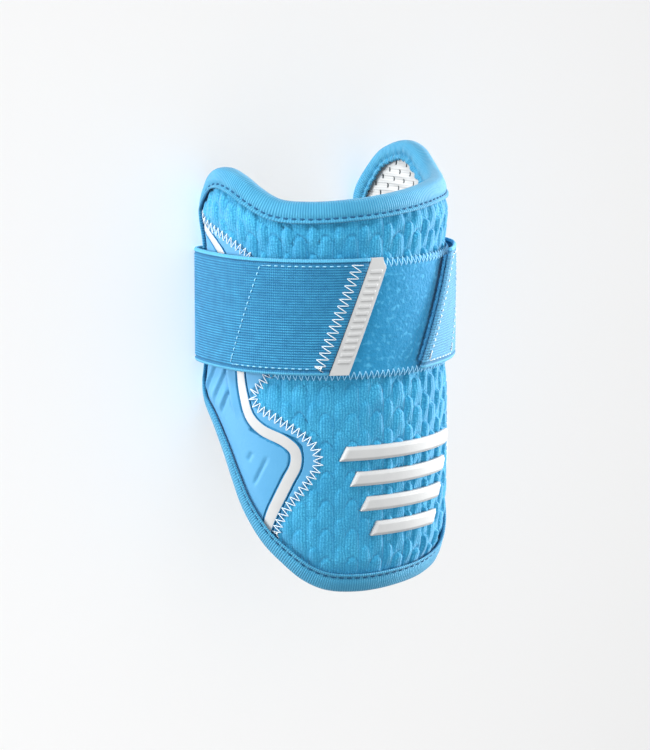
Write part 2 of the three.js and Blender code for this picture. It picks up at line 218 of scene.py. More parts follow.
def ridge(distance, width):
    """1 on a line, dying out over a width beside it."""
    return 1 - ease(np.abs(distance) / width)


def outside_depth(distance):
    return RIM_DROP_OUTSIDE * (1 - ease(distance / RIM_REACH))


def inside_depth(distance):
    return SHELL_THICKNESS - RIM_DROP_INSIDE * (1 - ease(distance / RIM_REACH))


def under_strap(y):
    return ease((STRAP_WIDTH / 2 + STRAP_FADE - np.abs(y - STRAP_CENTRE)) / STRAP_FADE)


# %% From the flat pattern to the arm
PINCH_START = 0.72
PINCH_GROWTH = 0.25


def oval_point(angle, y, depth):
    from_crown = np.arccos(np.cos(angle))
    opening = FLARE * ease((from_crown - math.pi / 2) / (HALF_WRAP / MM_PER_RADIAN - math.pi / 2))
    x = (FORM_HALF_WIDTH + opening - depth) * np.sin(angle)
    z = AXIS_HEIGHT + (FORM_HALF_HEIGHT - depth) * np.cos(angle)
    return np.stack(np.broadcast_arrays(x + MIDDLE_X, y + LIP_Y, z), axis=-1)


def wrap(x, y, depth):
    """Carries pattern points to the arm. The strap's pinch grows over the last stretch to a free edge."""
    outward = ease((np.abs(x) / HALF_WRAP - PINCH_START) / PINCH_GROWTH)
    angle = (x - np.sign(x) * STRAP_PINCH * under_strap(y) * outward) / MM_PER_RADIAN
    return oval_point(angle, y, depth + STRAP_SQUEEZE * under_strap(y))


# %% [markdown]
# ## Turning a flat piece into a mesh
#
# A piece of cloth or foam is a flat grid pulled out by one step, which gives it a face, a back and an edge
# all round. Its corners are then carried to their places in one go. The flat place of each corner is kept
# as a UV map in metres, so that a weave of so many threads to the centimetre comes out at its true scale.

# %% Making pieces
guard_only = bpy.data.collections.new("guard_only")


def carried(name, form, place, material):
    """Makes an object of a form whose corners hold three shares, carried by place to points in mm."""
    mesh = bpy.data.meshes.new(name)
    form.to_mesh(mesh)
    form.free()
    corner = np.empty(3 * len(mesh.vertices))
    mesh.vertices.foreach_get("co", corner)
    shares = corner.reshape(-1, 3) + (0.5, 0.5, 0)
    points, flat = place(*shares.T)
    mesh.vertices.foreach_set("co", (points * MM).ravel())
    loops = np.empty(len(mesh.loops), int)
    mesh.loops.foreach_get("vertex_index", loops)
    pattern = mesh.uv_layers.new(name="pattern")
    pattern.data.foreach_set("uv", (np.stack(flat, axis=1)[loops] * MM).ravel())
    joined = bmesh.new()
    joined.from_mesh(mesh)
    bmesh.ops.remove_doubles(joined, verts=joined.verts, dist=1e-6)
    bmesh.ops.recalc_face_normals(joined, faces=joined.faces)
    joined.to_mesh(mesh)
    joined.free()
    mesh.shade_smooth()
    mesh.materials.append(material)
    piece = bpy.data.objects.new(name, mesh)
    bpy.context.collection.objects.link(piece)
    return piece


def slab(name, columns, rows, place, material):
    """A flat grid with a face and a back. Its shares run across, along and outward."""
    form = bmesh.new()
    bmesh.ops.create_grid(form, x_segments=columns, y_segments=rows, size=0.5)
    pulled = bmesh.ops.extrude_face_region(form, geom=form.faces[:])
    face = [part for part in pulled["geom"] if isinstance(part, bmesh.types.BMVert)]
    bmesh.ops.translate(form, verts=face, vec=(0, 0, 1))
    return carried(name, form, place, material)


def settle(piece, slot, *nodes):
    """The piece rides on the guard and stands for some plain nodes. Its slot argument is not used."""
    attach(piece, "root")
    guard_only.objects.link(piece)
    if nodes:
        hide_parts(*nodes)
    print(piece.name, len(piece.data.polygons), "faces")
    return piece


def round_edges(piece, width, segments=2):
    bevel = piece.modifiers.new("rounded edges", "BEVEL")
    bevel.width = width * MM
    bevel.segments = segments
    bevel.limit_method = "ANGLE"
    bevel.angle_limit = math.radians(50)
    return piece


# %% [markdown]
# ## Finishes
#
# Every finish starts from what the real cloth or rubber is. Colours are picked as a screen shows them and
# turned to linear light by one function, and one function adds a node with its settings and links.

# %% Colour and node helpers
def colour(code):
    """An sRGB hex colour as linear light."""
    parts = [int(code[at:at + 2], 16) / 255 for at in (1, 3, 5)]
    linear = [part / 12.92 if part <= 0.04045 else ((part + 0.055) / 1.055) ** 2.4 for part in parts]
    return (*linear, 1)


def add_node(tree, kind, inputs, output=0, **settings):
    """Adds a node, fills its inputs with values or other nodes' outputs, and returns one of its outputs."""
    node = tree.nodes.new("ShaderNode" + kind)
    for name, value in settings.items():
        setattr(node, name, value)
    for socket, value in inputs.items():
        if isinstance(value, bpy.types.NodeSocket):
            tree.links.new(value, node.inputs[socket])
        else:
            node.inputs[socket].default_value = value
    return node.outputs[output]


def wave_scale(pitch):
    """The scale at which a wave texture on a map in metres repeats every so many millimetres."""
    return 2 * math.pi / (20 * pitch * MM)


def grain_scale(size):
    """The scale at which a noise on a map in metres has grains of so many millimetres."""
    return 1 / (size * MM)


def start_finish(name, base, roughness, sheen=0.0, specular=0.5):
    material = bpy.data.materials.new(name)
    material.use_nodes = True
    shader = material.node_tree.nodes["Principled BSDF"]
    shader.inputs["Base Color"].default_value = colour(base)
    shader.inputs["Roughness"].default_value = roughness
    shader.inputs["Sheen Weight"].default_value = sheen
    shader.inputs["Specular IOR Level"].default_value = specular
    return material


def complete(material, shade, relief):
    """Links a finish's colour and relief to its shader."""
    tree = material.node_tree
    shader = tree.nodes["Principled BSDF"]
    tree.links.new(shade, shader.inputs["Base Color"])
    tree.links.new(relief, shader.inputs["Normal"])
    return material


# %% Layout of the scales moulded into the knitted pad, in millimetres
SCALE_WIDTH = 11.4
SCALE_HEIGHT = 12.5
SCALE_START = -0.5
SCALE_TOP = 91.5
LOBE_SHARE = 0.42
LOBE_ARCH = 0.3
CREASE_SWAY = 0.5

# %% [markdown]
# Knitted polyester is matt and soft: light is lost between its loops. Its wales, the upright rows of loops,
# are about 1.2 mm apart and sway a little. The creases are where the hot mould pressed the cloth flat. They
# are drawn from the same layout as the scales' relief, as a bump and as painted shade: a darker blue laid
# in them, whose strength a noise varies.

# %% Knitted polyester over foam
def knitted_polyester():
    material = start_finish("knitted_polyester", "#58b7ea", 0.85, sheen=0.3, specular=0.3)
    tree = material.node_tree
    flat = add_node(tree, "UVMap", {}, uv_map="pattern")
    wales = {"Vector": flat, "Scale": wave_scale(1.2), "Distortion": 4.5, "Detail": 2.0, "Detail Scale": 0.8}
    wale = add_node(tree, "TexWave", wales, "Fac", bands_direction="X")
    loops = add_node(tree, "TexNoise", {"Vector": flat, "Scale": grain_scale(0.714), "Detail": 2.0})
    grain = add_node(tree, "MapRange", {"Value": loops, "From Min": 0.3, "From Max": 0.65})
    stitch = add_node(tree, "Math", {0: wale, 1: grain}, operation="MULTIPLY")
    patch = add_node(tree, "TexNoise", {"Vector": flat, "Scale": grain_scale(11.1), "Detail": 3.0})
    both = add_node(tree, "Math", {0: grain, 1: 0.5, 2: stitch}, operation="MULTIPLY_ADD")
    shade = add_node(tree, "Math", {0: both, 1: patch}, operation="MULTIPLY")
    cloth = add_node(tree, "Mix", {0: shade, 6: colour("#167ba9"), 7: colour("#4bb8df")}, 2, data_type="RGBA")
    # The creases are painted a darker blue over the cloth: painted shade in the creases.
    crease = scale_creases(tree, flat)
    crease_shaded = add_node(tree, "Mix", {0: crease, 6: cloth, 7: colour("#1d7cb0")}, 2, data_type="RGBA")
    pressed = add_node(tree, "Math", {0: 1.0, 1: crease}, operation="SUBTRACT")
    lines = add_node(tree, "Bump", {"Height": pressed, "Distance": 0.4 * MM})
    rows = add_node(tree, "Bump", {"Height": wale, "Distance": 0.08 * MM, "Normal": lines})
    relief = add_node(tree, "Bump", {"Height": loops, "Distance": 0.15 * MM, "Normal": rows})
    return complete(material, crease_shaded, relief)


def scale_creases(tree, flat):
    """Nodes that give 1 on the thin creases round the scales and 0 between them. The mask sets the painted
    crease shade and the crease bump.
    """
    right = add_node(tree, "SeparateXYZ", {0: flat}, "X")
    rise = add_node(tree, "SeparateXYZ", {0: flat}, "Y")
    wobble = add_node(tree, "TexNoise", {"Vector": flat, "Scale": grain_scale(3.85), "Detail": 2.0})
    sway = add_node(tree, "Math", {0: wobble, 1: CREASE_SWAY * MM, 2: right}, operation="MULTIPLY_ADD")
    columns = {"Value": sway, "From Min": SCALE_START * MM, "From Max": (SCALE_START + SCALE_WIDTH) * MM}
    column = add_node(tree, "MapRange", columns, clamp=False)
    across = add_node(tree, "Math", {0: column}, operation="FRACT")
    off = add_node(tree, "Math", {0: across, 1: 0.5}, operation="SUBTRACT")
    far = add_node(tree, "Math", {0: off}, operation="ABSOLUTE")
    side = add_node(tree, "MapRange", {"Value": far, "From Min": 0.45, "From Max": 0.5, "To Max": 0.55})
    aside = add_node(tree, "MapRange", {"Value": across, "From Min": (1 + LOBE_SHARE) / 2}, clamp=False)
    square = add_node(tree, "Math", {0: aside, 1: aside}, operation="MULTIPLY")
    rows = {"Value": rise, "From Min": SCALE_TOP * MM, "From Max": (SCALE_TOP + SCALE_HEIGHT) * MM}
    row = add_node(tree, "MapRange", rows, clamp=False)
    level = add_node(tree, "Math", {0: square, 1: LOBE_ARCH, 2: row}, operation="MULTIPLY_ADD")
    up = add_node(tree, "Math", {0: level}, operation="FRACT")
    over = add_node(tree, "MapRange", {"Value": up, "From Max": 0.09, "To Min": 0.8, "To Max": 0.0})
    lobes = {"Value": across, "From Min": LOBE_SHARE - 0.02, "From Max": LOBE_SHARE + 0.06}
    lobe = add_node(tree, "MapRange", lobes)
    top = add_node(tree, "Math", {0: over, 1: lobe}, operation="MULTIPLY")
    most = add_node(tree, "Math", {0: side, 1: top}, operation="MAXIMUM")
    # A noise varies how dark the painted crease shade is from place to place.
    mottled_shade = add_node(tree, "TexNoise", {"Vector": flat, "Scale": grain_scale(8.33), "Detail": 2.0})
    shade_range = {"Value": mottled_shade, "From Min": 0.3, "From Max": 0.6, "To Min": 0.22, "To Max": 0.58}
    shade_strength = add_node(tree, "MapRange", shade_range)
    return add_node(tree, "Math", {0: most, 1: shade_strength}, operation="MULTIPLY")


# %% [markdown]
# The side pads wear a smooth film of polyurethane, moulded on to the foam. It is matt, and only a faint
# grain from the mould breaks its surface. The line round the stripe is the same film, printed dark.

# %% Moulded film and its printed line
def moulded_film():
    material = start_finish("moulded_film", "#66c1f5", 0.6, sheen=0.15, specular=0.35)
    tree = material.node_tree
    flat = add_node(tree, "UVMap", {}, uv_map="pattern")
    grain = add_node(tree, "TexNoise", {"Vector": flat, "Scale": grain_scale(1.11), "Detail": 3.0})
    cloud = add_node(tree, "TexNoise", {"Vector": flat, "Scale": grain_scale(16.7), "Detail": 2.0})
    shade = add_node(tree, "Mix", {0: cloud, 6: colour("#438cba"), 7: colour("#5099c3")}, 2, data_type="RGBA")
    relief = add_node(tree, "Bump", {"Height": grain, "Distance": 0.08 * MM})
    return complete(material, shade, relief)


def printed_film():
    material = start_finish("printed_film", "#2c8abb", 0.6, specular=0.3)
    tree = material.node_tree
    place = add_node(tree, "TexCoord", {}, "Object")
    grain = add_node(tree, "TexNoise", {"Vector": place, "Scale": grain_scale(1.11), "Detail": 2.0})
    shade = add_node(tree, "Mix", {0: grain, 6: colour("#1d6f9c"), 7: colour("#2b84b2")}, 2, data_type="RGBA")
    relief = add_node(tree, "Bump", {"Height": grain, "Distance": 0.05 * MM})
    return complete(material, shade, relief)


# %% [markdown]
# The stripes, the pull tab and the ribs are moulded silicone rubber. It is an even off-white with a satin
# skin, copied from the etched steel of its mould, so only its highlights are broken by a fine grain.

# %% Moulded white rubber
def white_rubber():
    material = start_finish("white_rubber", "#e2e1df", 0.45, specular=0.5)
    tree = material.node_tree
    place = add_node(tree, "TexCoord", {}, "Object")
    grain = add_node(tree, "TexNoise", {"Vector": place, "Scale": grain_scale(0.667), "Detail": 2.0})
    cloud = add_node(tree, "TexNoise", {"Vector": place, "Scale": grain_scale(8.33), "Detail": 2.0})
    shade = add_node(tree, "Mix", {0: cloud, 6: colour("#afb1b2"), 7: colour("#bebfbf")}, 2, data_type="RGBA")
    relief = add_node(tree, "Bump", {"Height": grain, "Distance": 0.03 * MM})
    return complete(material, shade, relief)


# %% [markdown]
# The binding is a soft tape with fine ribs across it. Real ribs lie about 0.5 mm apart, which is too fine
# for the picture, so they are drawn 1.1 mm apart, as coarse as they need to be to show. Their valleys are
# painted darker and their crests lighter, as painted shade and highlight, under a random mottle.

# %% Ribbed binding tape
def ribbed_tape():
    material = start_finish("ribbed_tape", "#5ebaf0", 0.7, sheen=0.2, specular=0.35)
    tree = material.node_tree
    flat = add_node(tree, "UVMap", {}, uv_map="pattern")
    ribs = {"Vector": flat, "Scale": wave_scale(1.1), "Distortion": 0.8, "Detail": 1.0, "Detail Scale": 0.3}
    rib = add_node(tree, "TexWave", ribs, "Fac", bands_direction="X")
    patch = add_node(tree, "TexNoise", {"Vector": flat, "Scale": grain_scale(9.09), "Detail": 3.0})
    # Painted shade in the rib valleys and painted highlight on the crests, mottled by a noise.
    mottled_shade = add_node(tree, "Math", {0: rib, 1: patch}, operation="MULTIPLY")
    shade = add_node(tree, "Mix", {0: mottled_shade, 6: colour("#247fa9"), 7: colour("#54adce")}, 2, data_type="RGBA")
    relief = add_node(tree, "Bump", {"Height": rib, "Distance": 0.2 * MM})
    return complete(material, shade, relief)


# %% [markdown]
# The band is loop plush for the hooks to grip: nylon loops brushed into a dense nap. It has no shine of its
# own, and it is speckled where single loops catch the light.

# %% Brushed loop plush
def brushed_plush():
    material = start_finish("brushed_plush", "#4aaae2", 0.95, sheen=0.2, specular=0.2)
    tree = material.node_tree
    flat = add_node(tree, "UVMap", {}, uv_map="pattern")
    nap = add_node(tree, "TexNoise", {"Vector": flat, "Scale": grain_scale(1.43), "Detail": 4.0})
    fleck = add_node(tree, "TexNoise", {"Vector": flat, "Scale": grain_scale(2.38), "Detail": 1.0})
    catch = add_node(tree, "MapRange", {"Value": fleck, "From Min": 0.55, "From Max": 0.75})
    shade = add_node(tree, "Mix", {0: catch, 6: colour("#2482b0"), 7: colour("#449fca")}, 2, data_type="RGBA")
    relief = add_node(tree, "Bump", {"Height": nap, "Distance": 0.5 * MM})
    return complete(material, shade, relief)


# %% [markdown]
# Elastic webbing is rubber threads under a woven cover. Its rib crests are painted paler and its valleys
# darker, as painted highlight and shade, and it is paler still where the webbing bends over the side end and
# catches more light. A darker line is painted as shade in the trough beside each selvedge, and the selvedge
# itself is light.

# %% Woven elastic
RIB_PITCH = 1.1
WEFT_PITCH = 0.9
SELVEDGE = 1.9


def woven_elastic():
    material = start_finish("woven_elastic", "#3f9fd6", 0.75, sheen=0.12, specular=0.3)
    tree = material.node_tree
    flat = add_node(tree, "UVMap", {}, uv_map="pattern")
    ribs = {"Vector": flat, "Scale": wave_scale(RIB_PITCH)}
    rib = add_node(tree, "TexWave", ribs, "Fac", bands_direction="Y")
    threads = {"Vector": flat, "Scale": wave_scale(WEFT_PITCH)}
    weft = add_node(tree, "TexWave", threads, "Fac", bands_direction="X")
    patch = add_node(tree, "TexNoise", {"Vector": flat, "Scale": grain_scale(4.55), "Detail": 3.0})
    # Painted highlight on the rib crests and painted shade in the valleys, mottled by a noise.
    mottled_shade = add_node(tree, "Math", {0: rib, 1: patch}, operation="MULTIPLY")
    ribbed = add_node(tree, "Mix", {0: mottled_shade, 6: colour("#10628e"), 7: colour("#40a8d2")}, 2, data_type="RGBA")
    right = add_node(tree, "SeparateXYZ", {0: flat}, "X")
    rise = add_node(tree, "SeparateXYZ", {0: flat}, "Y")
    bend = {"Value": right, "From Min": 30 * MM, "From Max": 60 * MM, "To Min": 0.25, "To Max": 0.0}
    near_end = add_node(tree, "MapRange", bend)
    paler = add_node(tree, "Mix", {0: near_end, 6: ribbed, 7: colour("#8fcdee")}, 2, data_type="RGBA")
    off = add_node(tree, "Math", {0: rise, 1: STRAP_CENTRE * MM}, operation="SUBTRACT")
    aside = add_node(tree, "Math", {0: off}, operation="ABSOLUTE")
    beyond = add_node(tree, "Math", {0: aside, 1: (STRAP_WIDTH / 2 - SELVEDGE) * MM}, operation="SUBTRACT")
    beside = add_node(tree, "Math", {0: beyond}, operation="ABSOLUTE")
    # A darker line painted as shade in the trough beside each selvedge.
    line = add_node(tree, "MapRange", {"Value": beside, "From Max": 0.6 * MM, "To Min": 0.75, "To Max": 0.0})
    trough_shaded = add_node(tree, "Mix", {0: line, 6: paler, 7: colour("#0f5580")}, 2, data_type="RGBA")
    margin = {"Value": beyond, "From Min": 0.5 * MM, "From Max": 0.9 * MM, "To Max": 0.5}
    selvedge = add_node(tree, "MapRange", margin)
    edged = add_node(tree, "Mix", {0: selvedge, 6: trough_shaded, 7: colour("#62bde2")}, 2, data_type="RGBA")
    relief = add_node(tree, "Bump", {"Height": weft, "Distance": 0.14 * MM})
    return complete(material, edged, relief)


# %% [markdown]
# Hook tape is stiff nylon with a field of hooks, which are about 1.1 mm apart. Only its edges show under the
# strap's ends, as a darker and rougher line than the elastic.

# %% Hook tape
def nylon_hooks():
    material = start_finish("nylon_hooks", "#1d6498", 0.7, specular=0.4)
    tree = material.node_tree
    place = add_node(tree, "TexCoord", {}, "Object")
    hooks = add_node(tree, "TexVoronoi", {"Vector": place, "Scale": grain_scale(1.11)})
    shade = add_node(tree, "Mix", {0: hooks, 6: colour("#1a5e8a"), 7: colour("#3a8fc0")}, 2, data_type="RGBA")
    relief = add_node(tree, "Bump", {"Height": hooks, "Distance": 0.5 * MM})
    return complete(material, shade, relief)


# %% [markdown]
# The lining is a white spacer mesh: two knitted faces held apart by fine yarns, so that air passes. It has
# rows of short upright holes, painted dark: partly the foam seen through them, partly painted shade inside
# them. Each row is shifted a little more than half a pitch from the one below, and the rows slant a little,
# as the pleats do.

# %% Spacer mesh with rows of holes
LINING_ROW = 3.65
LINING_SLANT = -0.07
HOLE_PITCH = 8.2
HOLE_WIDTH = 0.85
HOLE_LENGTH = 1.7
HOLE_SHIFT = 0.58


def spacer_mesh():
    material = start_finish("spacer_mesh", "#f1f1f0", 0.85, sheen=0.1, specular=0.3)
    tree = material.node_tree
    flat = add_node(tree, "UVMap", {}, uv_map="pattern")
    right = add_node(tree, "SeparateXYZ", {0: flat}, "X")
    rise = add_node(tree, "SeparateXYZ", {0: flat}, "Y")
    lean = add_node(tree, "Math", {0: right, 1: LINING_SLANT, 2: rise}, operation="MULTIPLY_ADD")
    row = add_node(tree, "Math", {0: lean, 1: LINING_ROW * MM}, operation="DIVIDE")
    number = add_node(tree, "Math", {0: row}, operation="FLOOR")
    along = add_node(tree, "Math", {0: right, 1: HOLE_PITCH * MM}, operation="DIVIDE")
    moved = add_node(tree, "Math", {0: number, 1: HOLE_SHIFT, 2: along}, operation="MULTIPLY_ADD")
    sides = []
    for value, size in ((moved, HOLE_WIDTH / HOLE_PITCH), (row, HOLE_LENGTH / LINING_ROW)):
        cell = add_node(tree, "Math", {0: value}, operation="FRACT")
        off = add_node(tree, "Math", {0: cell, 1: 0.5}, operation="SUBTRACT")
        far = add_node(tree, "Math", {0: off}, operation="ABSOLUTE")
        edge = {"Value": far, "From Min": size / 2, "From Max": size / 2 * 1.25, "To Min": 1.0, "To Max": 0.0}
        sides.append(add_node(tree, "MapRange", edge))
    hole = add_node(tree, "Math", {0: sides[0], 1: sides[1]}, operation="MULTIPLY")
    # The holes are painted dark grey: the foam seen through them, and painted shade inside them.
    shade = add_node(tree, "Mix", {0: hole, 6: colour("#bfc0c0"), 7: colour("#3d4448")}, 2, data_type="RGBA")
    loops = add_node(tree, "TexWave", {"Vector": flat, "Scale": wave_scale(1.1)}, "Fac", bands_direction="Y")
    rows = add_node(tree, "Bump", {"Height": loops, "Distance": 0.12 * MM})
    cloth = add_node(tree, "Math", {0: 1.0, 1: hole}, operation="SUBTRACT")
    relief = add_node(tree, "Bump", {"Height": cloth, "Distance": 0.4 * MM, "Normal": rows})
    return complete(material, shade, relief)


# %% [markdown]
# Sewing thread is polyester plies twisted together, which shows as a fine mottle. One finish in four colours
# serves every seam: white on the pads, pale on the bands, and two blues that sink into the tape.

# %% Sewing thread
def sewing_thread(name, dark, light):
    material = start_finish(name, light, 0.6, specular=0.3)
    tree = material.node_tree
    place = add_node(tree, "TexCoord", {}, "Object")
    ply = add_node(tree, "TexNoise", {"Vector": place, "Scale": grain_scale(0.455), "Detail": 1.0})
    shade = add_node(tree, "Mix", {0: ply, 6: colour(dark), 7: colour(light)}, 2, data_type="RGBA")
    relief = add_node(tree, "Bump", {"Height": ply, "Distance": 0.05 * MM})
    return complete(material, shade, relief)


# %% All the finishes
knit = knitted_polyester()
film = moulded_film()
groove_ink = printed_film()
rubber = white_rubber()
tape_cloth = ribbed_tape()
plush = brushed_plush()
elastic = woven_elastic()
hooks = nylon_hooks()
net = spacer_mesh()
white_thread = sewing_thread("white_thread", "#c9dae4", "#e9f1f5")
pale_thread = sewing_thread("pale_thread", "#79c6ee", "#a9def8")
middle_thread = sewing_thread("middle_thread", "#2f8dbd", "#46a2cc")
dark_thread = sewing_thread("dark_thread", "#0d4466", "#1c6390")
print(len(bpy.data.materials), "finishes")

# %% [markdown]
# ## Camera, floor and light
#
# The camera stands where the picture was taken from: above the guard's upper left, looking down along the
# front of the elbow. A product picture is lit evenly and cut out, so its ground shows hardly any shadow.
# Light linking gives the same look: four soft lamps light the guard alone, and two light the floor alone.

# %% Camera at the picture's angle
CAMERA_TURN = math.radians(42.5)
CAMERA_TILT = math.radians(10)
CAMERA_DISTANCE = 1.2
CAMERA_TARGET = Vector((0.00045, -0.00703, 0.02807))
LENS_LENGTH = 131.3
lens = bpy.data.cameras.new("camera")
lens.lens = LENS_LENGTH
lens.sensor_width = 36
lens.clip_end = 20
camera = bpy.data.objects.new("camera", lens)
turn = Matrix.Rotation(-CAMERA_TURN, 4, "Y") @ Matrix.Rotation(-CAMERA_TILT, 4, "X")
place = CAMERA_TARGET + CAMERA_DISTANCE * turn.col[2].to_3d()
camera.matrix_world = Matrix.Translation(place) @ turn
bpy.context.collection.objects.link(camera)
bpy.context.scene.camera = camera
bpy.context.scene.view_settings.view_transform = "Standard"
print("camera at", [round(value, 3) for value in place])


# %% Floor, sky light and lamps
LAMP_TARGET = Vector((0, 0, 0.03))


def lamp(name, place, size, power, lit):
    """A soft round lamp that lights one collection alone, and takes shadows from that alone."""
    light = bpy.data.lights.new(name, "AREA")
    light.shape = "DISK"
    light.size = size
    light.energy = power
    holder = bpy.data.objects.new(name, light)
    holder.location = place
    aim = LAMP_TARGET - Vector(place)
    holder.rotation_euler = aim.to_track_quat("-Z", "Y").to_euler()
    holder.light_linking.receiver_collection = lit
    holder.light_linking.blocker_collection = lit
    bpy.context.collection.objects.link(holder)


ground = bmesh.new()
bmesh.ops.create_grid(ground, x_segments=4, y_segments=4, size=3)
ground_mesh = bpy.data.meshes.new("floor")
ground.to_mesh(ground_mesh)
ground.free()
ground_mesh.materials.append(start_finish("matt_paper", "#f7f7f7", 0.9, specular=0.2))
floor = bpy.data.objects.new("floor", ground_mesh)
bpy.context.collection.objects.link(floor)
floor_only = bpy.data.collections.new("floor_only")
floor_only.objects.link(floor)

world = bpy.context.scene.world or bpy.data.worlds.new("sky")
bpy.context.scene.world = world
world.use_nodes = True
sky = world.node_tree.nodes["Background"]
sky.inputs["Color"].default_value = (1, 1, 1, 1)
sky.inputs["Strength"].default_value = 0.5
for name, place, size, power, lit in (
    ("overhead", (-0.05, 0.1, 1.3), 1.0, 8.6, guard_only),
    ("far_side", (1.05, 0.15, 0.35), 0.5, 24.0, guard_only),
    ("near_side", (-0.85, 0.15, -0.5), 0.5, 12.0, guard_only),
    ("upper_end", (-0.5, 1.0, 0.35), 0.5, 9.5, guard_only),
    ("floor_above", (-0.05, 0.1, 1.3), 1.0, 7.9, floor_only),
    ("floor_wash", (-1.0, -0.5, 0.7), 1.0, 4.0, floor_only),
):
    lamp(name, place, size, power, lit)
print("stage has", len(bpy.data.lights), "lamps,", floor.name, "and sky light")

# %% [markdown]
# ## Cutting the patches
#
# Each pad fills a patch of the pattern between its seam and the edge. The side pads are cut by the border
# curve, and what is left between the two borders is the mesh pad. The foam stops just short of the fold of
# the edge tape. Where a border meets that edge, both lines are cut at the same point.

# %% Edges of the three pads
TAPE_SLOT = TAPE_THICKNESS + 3 * TAPE_SLACK
pad_edge = outline + TAPE_SLOT * outline_across


def inside(points, loop):
    """Which points lie inside a closed line."""
    x, y = points[:, :1], points[:, 1:]
    a, b = loop[:-1], loop[1:]
    straddles = (a[:, 1] > y) != (b[:, 1] > y)
    rise = np.where(b[:, 1] == a[:, 1], 1e-9, b[:, 1] - a[:, 1])
    crossing = a[:, 0] + (y - a[:, 1]) * (b[:, 0] - a[:, 0]) / rise
    return (straddles & (x < crossing)).sum(axis=1) % 2 == 1


def cut_border(side):
    """A border inside the pads' edge, and where on that edge it starts and ends."""
    line = borders[side][inside(borders[side], pad_edge)]
    meets = [int(np.linalg.norm(pad_edge - end, axis=1).argmin()) for end in (line[0], line[-1])]
    return np.vstack([pad_edge[meets[0]], line, pad_edge[meets[1]]]), meets


left_border, (left_low, left_high) = cut_border(-1)
right_border, (right_low, right_high) = cut_border(1)
low_edge = pad_edge[left_low:right_low + 1]
high_edge = pad_edge[right_high:left_high + 1][::-1]
right_edge = pad_edge[right_low:right_high + 1]
left_edge = np.vstack([pad_edge[left_high:-1], pad_edge[:left_low + 1]])[::-1]
print("pad edges have", len(low_edge), len(high_edge), len(right_edge), len(left_edge), "points")


# %% Reading a line by a share that mixes its length and its level
def reader(line, level_share):
    """A function that gives the line's point at a share of the way, counted partly by level."""
    run = lengths_along(line)
    way = run / run[-1]
    if level_share:
        level = np.maximum.accumulate(line[:, 1] - line[0, 1])
        way = mix(way, level / level[-1], level_share)
    return lambda share: read_line(line, way, share)


# %% [markdown]
# ## Mesh pad
#
# The pad's foam is moulded into rows of upright scales with rounded tops, and the knitted cloth follows
# them. Creases between the columns run deep, and every second one is shallow. They are softer towards the
# near side, where the mould is nearly flat. Painting such relief as bump would leave a smooth outline, so
# here it is real shape: a fine grid between the pad's four edges, each corner sunk by the depth of the
# crease that it lies in.

# %% Relief of the scales
SCALE_DEPTH = 2.1
SCALE_TOP_FALL = 1.6
SCALE_SLOPE = 7
CREASE_WIDTH = 1.7
LOBE_CREASE = 1.2
SHALLOWEST = 0.42
FRONT_FADE = (-34, 40)
UPPER_FADE = 20


def scale_relief(x, y):
    """Depth of the moulded scales, in millimetres."""
    column = (x - SCALE_START) / SCALE_WIDTH
    across = column - np.floor(column)
    lobe = across > LOBE_SHARE
    middle = np.where(lobe, (1 + LOBE_SHARE) / 2, LOBE_SHARE / 2)
    half = np.where(lobe, (1 - LOBE_SHARE) / 2, LOBE_SHARE / 2)
    aside = (across - middle) / half
    arch = LOBE_ARCH * np.where(lobe, 1, 0.7) * aside**2
    level = (y - SCALE_TOP) / SCALE_HEIGHT + np.where(lobe, 0, -0.4) + arch
    up = level - np.floor(level)
    body = mix(0.45, 1, ease(up * SCALE_HEIGHT / SCALE_SLOPE))
    top = ease((1 - up) * SCALE_HEIGHT / SCALE_TOP_FALL)
    dome = 1 - 0.4 * aside**2
    pinch = mix(0.45, 0.85, ease((up - 0.35) / 0.5))
    column_side = 1 - pinch * (1 - ease(np.minimum(across, 1 - across) * SCALE_WIDTH / CREASE_WIDTH))
    lobe_side = 1 - 0.45 * ridge((across - LOBE_SHARE) * SCALE_WIDTH, LOBE_CREASE) * ease(up * 1.6)
    front, upper = ease((x - FRONT_FADE[0]) / FRONT_FADE[1]), ease((y - STRAP_CENTRE) / UPPER_FADE)
    strength = mix(SHALLOWEST, 1, np.maximum(front, 0.5 * upper))
    return SCALE_DEPTH * strength * (1 - dome * body * top * column_side * lobe_side)


# %% The mesh pad as a patch between four edges
SEAM_SINK = 0.9
SEAM_WIDTH = 1.6
PAD_COLUMNS, PAD_ROWS = 230, 190


def seam_sink(x, y):
    """The crease along the seam between the pads."""
    return SEAM_SINK * ridge(border_distance(x, y), SEAM_WIDTH)


def mesh_pad():
    low, high = reader(low_edge, 0), reader(high_edge, 0)
    left, right = reader(left_border, 0.5), reader(right_border, 0.5)
    corner = left_border[0], right_border[0], left_border[-1], right_border[-1]

    def place(across, along, outward):
        u, v = across[:, None], along[:, None]
        ruled = mix(low(across), high(across), v) + mix(left(along), right(along), u)
        flat = ruled - mix(mix(corner[0], corner[1], u), mix(corner[2], corner[3], u), v)
        x, y = flat.T
        distance = edge_distance(x, y)
        face = outside_depth(distance) + scale_relief(x, y) * ease((distance - 4) / 6) + seam_sink(x, y)
        back = inside_depth(distance) - LINING_THICKNESS - CLEARANCE
        return wrap(x, y, mix(back, face, outward)), (x, y)

    return slab("mesh_pad_knit", PAD_COLUMNS, PAD_ROWS, place, knit)


pad = settle(mesh_pad(), "knit", "mesh_pad")

# %% [markdown]
# ## Side pads
#
# Each side pad is smoother: foam under a moulded film, with a groove that holds the white stripe, a few
# flame-like ridges towards its free edge and two short slanted grooves. The grid's columns run along the
# groove's two edges, so its walls stay crisp without a very fine grid.

# %% Width and groove of the stripe
GROOVE_DEPTH = 0.6
GROOVE_WALL = 0.25
GROOVE_GAP = 0.5
STRIPE_LOW_HALF = 2.8
STRIPE_HIGH_HALF = 2.1


